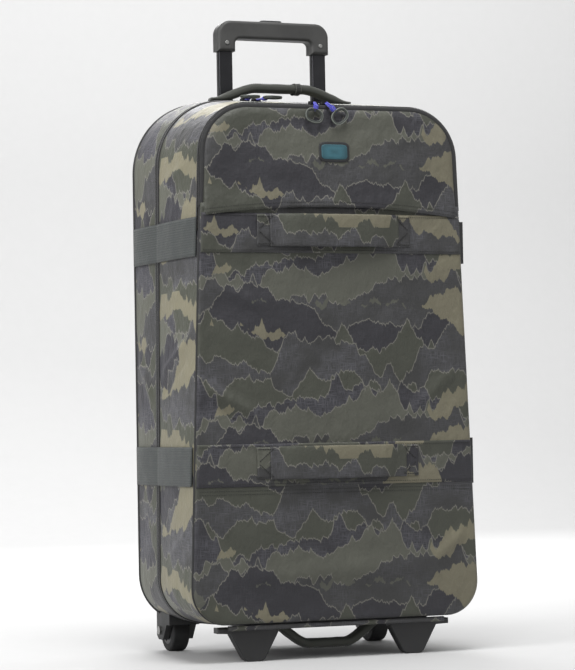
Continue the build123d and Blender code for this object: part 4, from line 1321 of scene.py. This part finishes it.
def back_point(share, z):
    width = back_half(z) - 4 * MM
    x = share * width
    inside = min(width - abs(x), z - BACK.low, BACK.high - z)
    rise = 1.2 * MM * smooth(inside, 0.0, 0.03) + 0.5 * MM * ripple(x, 0.2, z, 10.0, 5.0) * smooth(inside, 0, 0.03)
    return (x, BACK_Y - 1.2 * MM + rise, z)


back_levels = np.concatenate([
    BACK.low + np.array([0.5, 1.5, 4, 8, 14, 22, 32, 44, 58]) * MM,
    np.linspace(BACK.low + 72 * MM, BACK.high - 112 * MM, 50)[:-1],
    BACK.high - 112 * MM * (1 - np.sin(np.linspace(0, 0.994 * math.pi / 2, 30))),
])
back_cloth_uv = woven_material("back_panel_cloth", linear(46, 47, 48), pitch=2.0 * MM)
field("back_panel_cloth", spread_columns(70, 1.0), back_levels, back_point, back_cloth_uv, "root",
      ("back_panel",), flip=True)

back_rows = []
for inset in (8 * MM, 11.5 * MM):
    ring = []
    for (x, z), (nx, nz) in zip(*rim(BACK.y)[:2]):
        share_x, share_z = x - nx * inset, z - nz * inset
        width = back_half(share_z) - 4 * MM
        ring.append((share_x, back_point(share_x / width, share_z)[1] + 0.3 * MM, share_z))
    back_rows.append(stitch_row("back_row", ring, (0, 1, 0), thread_dark))
finish_piece(join("back_panel_stitches", back_rows), "root")

base_low, base_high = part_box("base_panel")


def base_point(x, y):
    share = (y - base_low[1]) / (base_high[1] - base_low[1])
    z = front_low + share * (back_low - front_low)
    return (x, y, z + 0.4 * MM * ripple(x, y, 0.0, 12.0))


field("base_cloth", np.linspace(-BASE_HALF, BASE_HALF, 40), np.linspace(base_low[1], base_high[1], 40), base_point,
      back_cloth_uv, "root", ("base_panel",), thickness=0, flip=True)

liner_low, liner_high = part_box("pocket_liner")


def liner_point(share, z):
    inset = 12 * MM
    return (share * (half_width(z) - inset), liner_high[1] - 1 * MM - 0.5 * MM * ripple(share * 0.2, 0.1, z, 14.0), z)


liner_cloth = woven_material("liner_cloth", linear(78, 80, 83), pitch=1.0 * MM)
field("pocket_liner_cloth", np.linspace(-1, 1, 40), np.linspace(liner_low[2] + 2 * MM, liner_high[2] - 2 * MM, 50),
      liner_point, liner_cloth, "front_shell", ("pocket_liner",))


# ---- Zip pulls ------------------------------------------------------------------------------------------------------


def ring_outline(centre, half_wide, half_long, long_axis, cross_axis):
    """Points round an oval ring."""
    outline = super_ellipse(half_wide, half_long, 2.4, 56)
    return [centre + a * cross_axis + b * long_axis for a, b in outline]


def zip_pull(name, node, body, pin, knee, ring_centre, long_axis, cross_axis, out, half_wide, half_long):
    """Blue cord from the slider to a moulded oval ring."""
    pin, knee, centre = (np.array(v, dtype=float) for v in (pin, knee, ring_centre))
    long_axis = np.array(long_axis, dtype=float)
    cross_axis = np.array(cross_axis, dtype=float)
    near = centre - long_axis * (half_long - 1.0 * MM)
    parts = []
    for side in (-1, 1):
        offset = cross_axis * side * 1.5 * MM
        path = smooth_path([pin + offset * 0.7, (pin + knee) / 2 + offset, knee + offset, near + offset * 0.9], 30)
        parts.append(sweep(name + "_strand", path, circle(1.25 * MM, 10), cord_blue))
    loop = [near + cross_axis * math.cos(a) * 2.2 * MM + long_axis * math.sin(a) * 2.4 * MM
            for a in np.linspace(-0.4, math.pi + 0.4, 18)]
    parts.append(sweep(name + "_loop", loop, circle(1.3 * MM, 10), cord_blue))
    knot = (knee + near) / 2
    for turn in range(3):
        place = knot + long_axis * (turn - 1) * 2.1 * MM
        ring = [place + cross_axis * math.cos(a) * 3.1 * MM + np.array(out) * math.sin(a) * 2.2 * MM
                for a in np.arange(20) * math.pi / 10]
        parts.append(sweep(name + "_turn", ring, circle(1.2 * MM, 10), cord_blue, closed=True))
    cord = join(name + "_cord", parts)
    finish_piece(cord, body, (node,))
    outline = ring_outline(centre, half_wide - 2.2 * MM, half_long - 2.2 * MM, long_axis, cross_axis)
    core = sweep(name + "_ring", outline, super_ellipse(2.2 * MM, 2.0 * MM, 2.2, 18), ring_core, up=out, closed=True)
    finish_piece(core, body)
    outline = ring_outline(centre, half_wide - 1.2 * MM, half_long - 1.2 * MM, long_axis, cross_axis)
    for place, lift in (("_rim_low", -1.125 * MM), ("_rim_high", 1.125 * MM)):
        edge = [p + np.array(out) * lift for p in outline]
        rim_piece = sweep(name + place, edge, circle(0.9 * MM, 10), ring_plastic, up=out, closed=True)
        finish_piece(rim_piece, body)


def hang_pull(kind, side, pin, knee, centre, direction, facing, half_wide, half_long):
    """One zip pull, with its ring square to its own length."""
    direction = direction / np.linalg.norm(direction)
    cross = np.cross(direction, facing)
    cross /= np.linalg.norm(cross)
    if knee is None:
        knee = pin + direction * 10 * MM
    name = kind + "_pull_" + side
    zip_pull(name + "_trim", name, side + "_" + kind + "_pull", pin, knee, centre, direction, cross,
             np.cross(cross, direction), half_wide, half_long)


for kind, side, shift in (("main", "left", -8), ("main", "right", 10), ("flap", "left", -6), ("flap", "right", 22)):
    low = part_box(kind + "_pull_" + side)[0]
    slider_low, slider_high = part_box(kind + "_slider_" + side)
    pin_x = (slider_low[0] + slider_high[0]) / 2
    if kind == "main":
        pin = np.array((pin_x, FRONT_ZIP[1] - 5.5 * MM, slider_high[2] - 1.5 * MM))
        centre = np.array((pin_x + shift * MM, low[1] + 12.5 * MM, low[2] + 8.5 * MM))
        hang_pull(kind, side, pin, None, centre, centre - pin, (0, 0, 1), 15 * MM, 12 * MM)
    else:
        pin = np.array((pin_x, FACE_Y - 1.8 * MM, (slider_low[2] + slider_high[2]) / 2))
        centre = np.array((pin_x + shift * 0.8 * MM, FACE_Y - 11.0 * MM, low[2] + 11 * MM))
        knee = pin + np.array((shift * 0.15 * MM, -8.0 * MM, -6 * MM))
        direction = (centre - pin) * (1, 0.2, 1)
        hang_pull(kind, side, pin, knee, centre, direction, (0, -1, 0), 14.5 * MM, 11.5 * MM)


# ---- Carried-over pieces: better materials --------------------------------------------------------------------------
paint(slider_metal, "main_slider_left", "main_slider_right", "flap_slider_left", "flap_slider_right")
paint(tube_metal, "outer_tubes", "middle_tubes", "inner_tubes")
paint(plastic_black, "front_feet", "handle_bezel", "tube_bracket", "lock_plugs", "back_rails", "kick_plate",
      "wheel_housing_left", "wheel_housing_right", "hook_upper", "hook_lower", "base_tray")
paint(plastic_board, "base_board", "tube_divider")
paint(wrap_cloth, "top_handle_anchors")
paint(grip_plastic, "grip")
paint(button_plastic, "grip_button")
paint(bolt_metal, "grip_rivets", "axles")
paint(tyre_rubber, "tyre_left", "tyre_right")
paint(hub_plastic, "wheel_hub_left", "wheel_hub_right")


# ---- Floor, light, camera -------------------------------------------------------------------------------------------
floor_material, w, bsdf = new_material("floor_paper", Roughness=0.9)
speck = w.noise(w.add("ShaderNodeTexCoord").outputs["Object"], 30.0, 4.0)
w.feed(bsdf.inputs["Base Color"], w.mix(speck, (0.52, 0.52, 0.52, 1), (0.54, 0.54, 0.54, 1)))
FLOOR_RUN, FLOOR_BEND, FLOOR_WIDE = 3.7, 1.2, 12.0
profile = [(-12.0, 0.0), (FLOOR_RUN, 0.0)]
profile += [(FLOOR_RUN + FLOOR_BEND * math.sin(a), FLOOR_BEND * (1 - math.cos(a))) for a in
            np.linspace(0.1, math.pi / 2, 14)]
profile += [(FLOOR_RUN + FLOOR_BEND, 5.0)]
floor = sheet_mesh(
    "floor",
    [[(x, y, z) for x in np.linspace(-FLOOR_WIDE, FLOOR_WIDE, 12)] for y, z in profile],
    [[(x, y) for x in np.linspace(-FLOOR_WIDE, FLOOR_WIDE, 12)] for y, z in profile],
    floor_material,
)

world = bpy.data.worlds.new("studio")
bpy.context.scene.world = world
world.use_nodes = True
world.node_tree.nodes["Background"].inputs["Color"].default_value = (1.0, 1.0, 1.0, 1.0)
world.node_tree.nodes["Background"].inputs["Strength"].default_value = 0.5


def area_light(name, place, target, size, energy):
    data = bpy.data.lights.new(name, "AREA")
    data.shape = "RECTANGLE"
    data.size, data.size_y = size
    data.energy = energy
    lamp = bpy.data.objects.new(name, data)
    lamp.location = place
    lamp.rotation_euler = (Vector(target) - Vector(place)).to_track_quat("-Z", "Y").to_euler()
    bpy.context.scene.collection.objects.link(lamp)


# Name, place, target, size, power.
for light in (
    ("key", (-3.2, -1.2, 2.2), (0.0, 0.0, 0.45), (1.4, 2.0), 78.0),
    ("fill", (2.2, -3.0, 1.6), (0.0, 0.0, 0.4), (2.5, 2.5), 10.0),
    ("overhead", (-0.3, -1.1, 3.0), (0.0, 0.0, 0.4), (1.2, 1.2), 62.0),
    ("rear", (0.8, 3.3, 2.7), (0.0, 0.0, 0.4), (2.0, 1.2), 60.0),
    ("backdrop", (1.4, 1.7, 3.6), (1.6, 4.7, 0.6), (5.0, 2.0), 185.0),
):
    area_light(*light)

CAMERA_PLACE = (-1.4476, -3.6402, 0.3393)
CAMERA_LENS, CAMERA_SENSOR = 138.85, 36.0            # millimetres
YAW, PITCH, ROLL = (math.radians(a) for a in (21.43, 2.03, -1.02))
forward = Vector((math.sin(YAW) * math.cos(PITCH), math.cos(YAW) * math.cos(PITCH), math.sin(PITCH)))
right = Vector((math.cos(YAW), -math.sin(YAW), 0.0))
upward = right.cross(forward)
camera_x = math.cos(ROLL) * right + math.sin(ROLL) * upward
camera_y = -math.sin(ROLL) * right + math.cos(ROLL) * upward
camera_data = bpy.data.cameras.new("camera")
camera_data.lens = CAMERA_LENS
camera_data.sensor_width = CAMERA_SENSOR
camera_data.dof.use_dof = False
camera = bpy.data.objects.new("camera", camera_data)
turn = Matrix((camera_x, camera_y, -forward)).transposed().to_4x4()
camera.matrix_world = Matrix.Translation(CAMERA_PLACE) @ turn
bpy.context.scene.collection.objects.link(camera)
bpy.context.scene.camera = camera
bpy.context.scene.view_settings.view_transform = "Standard"
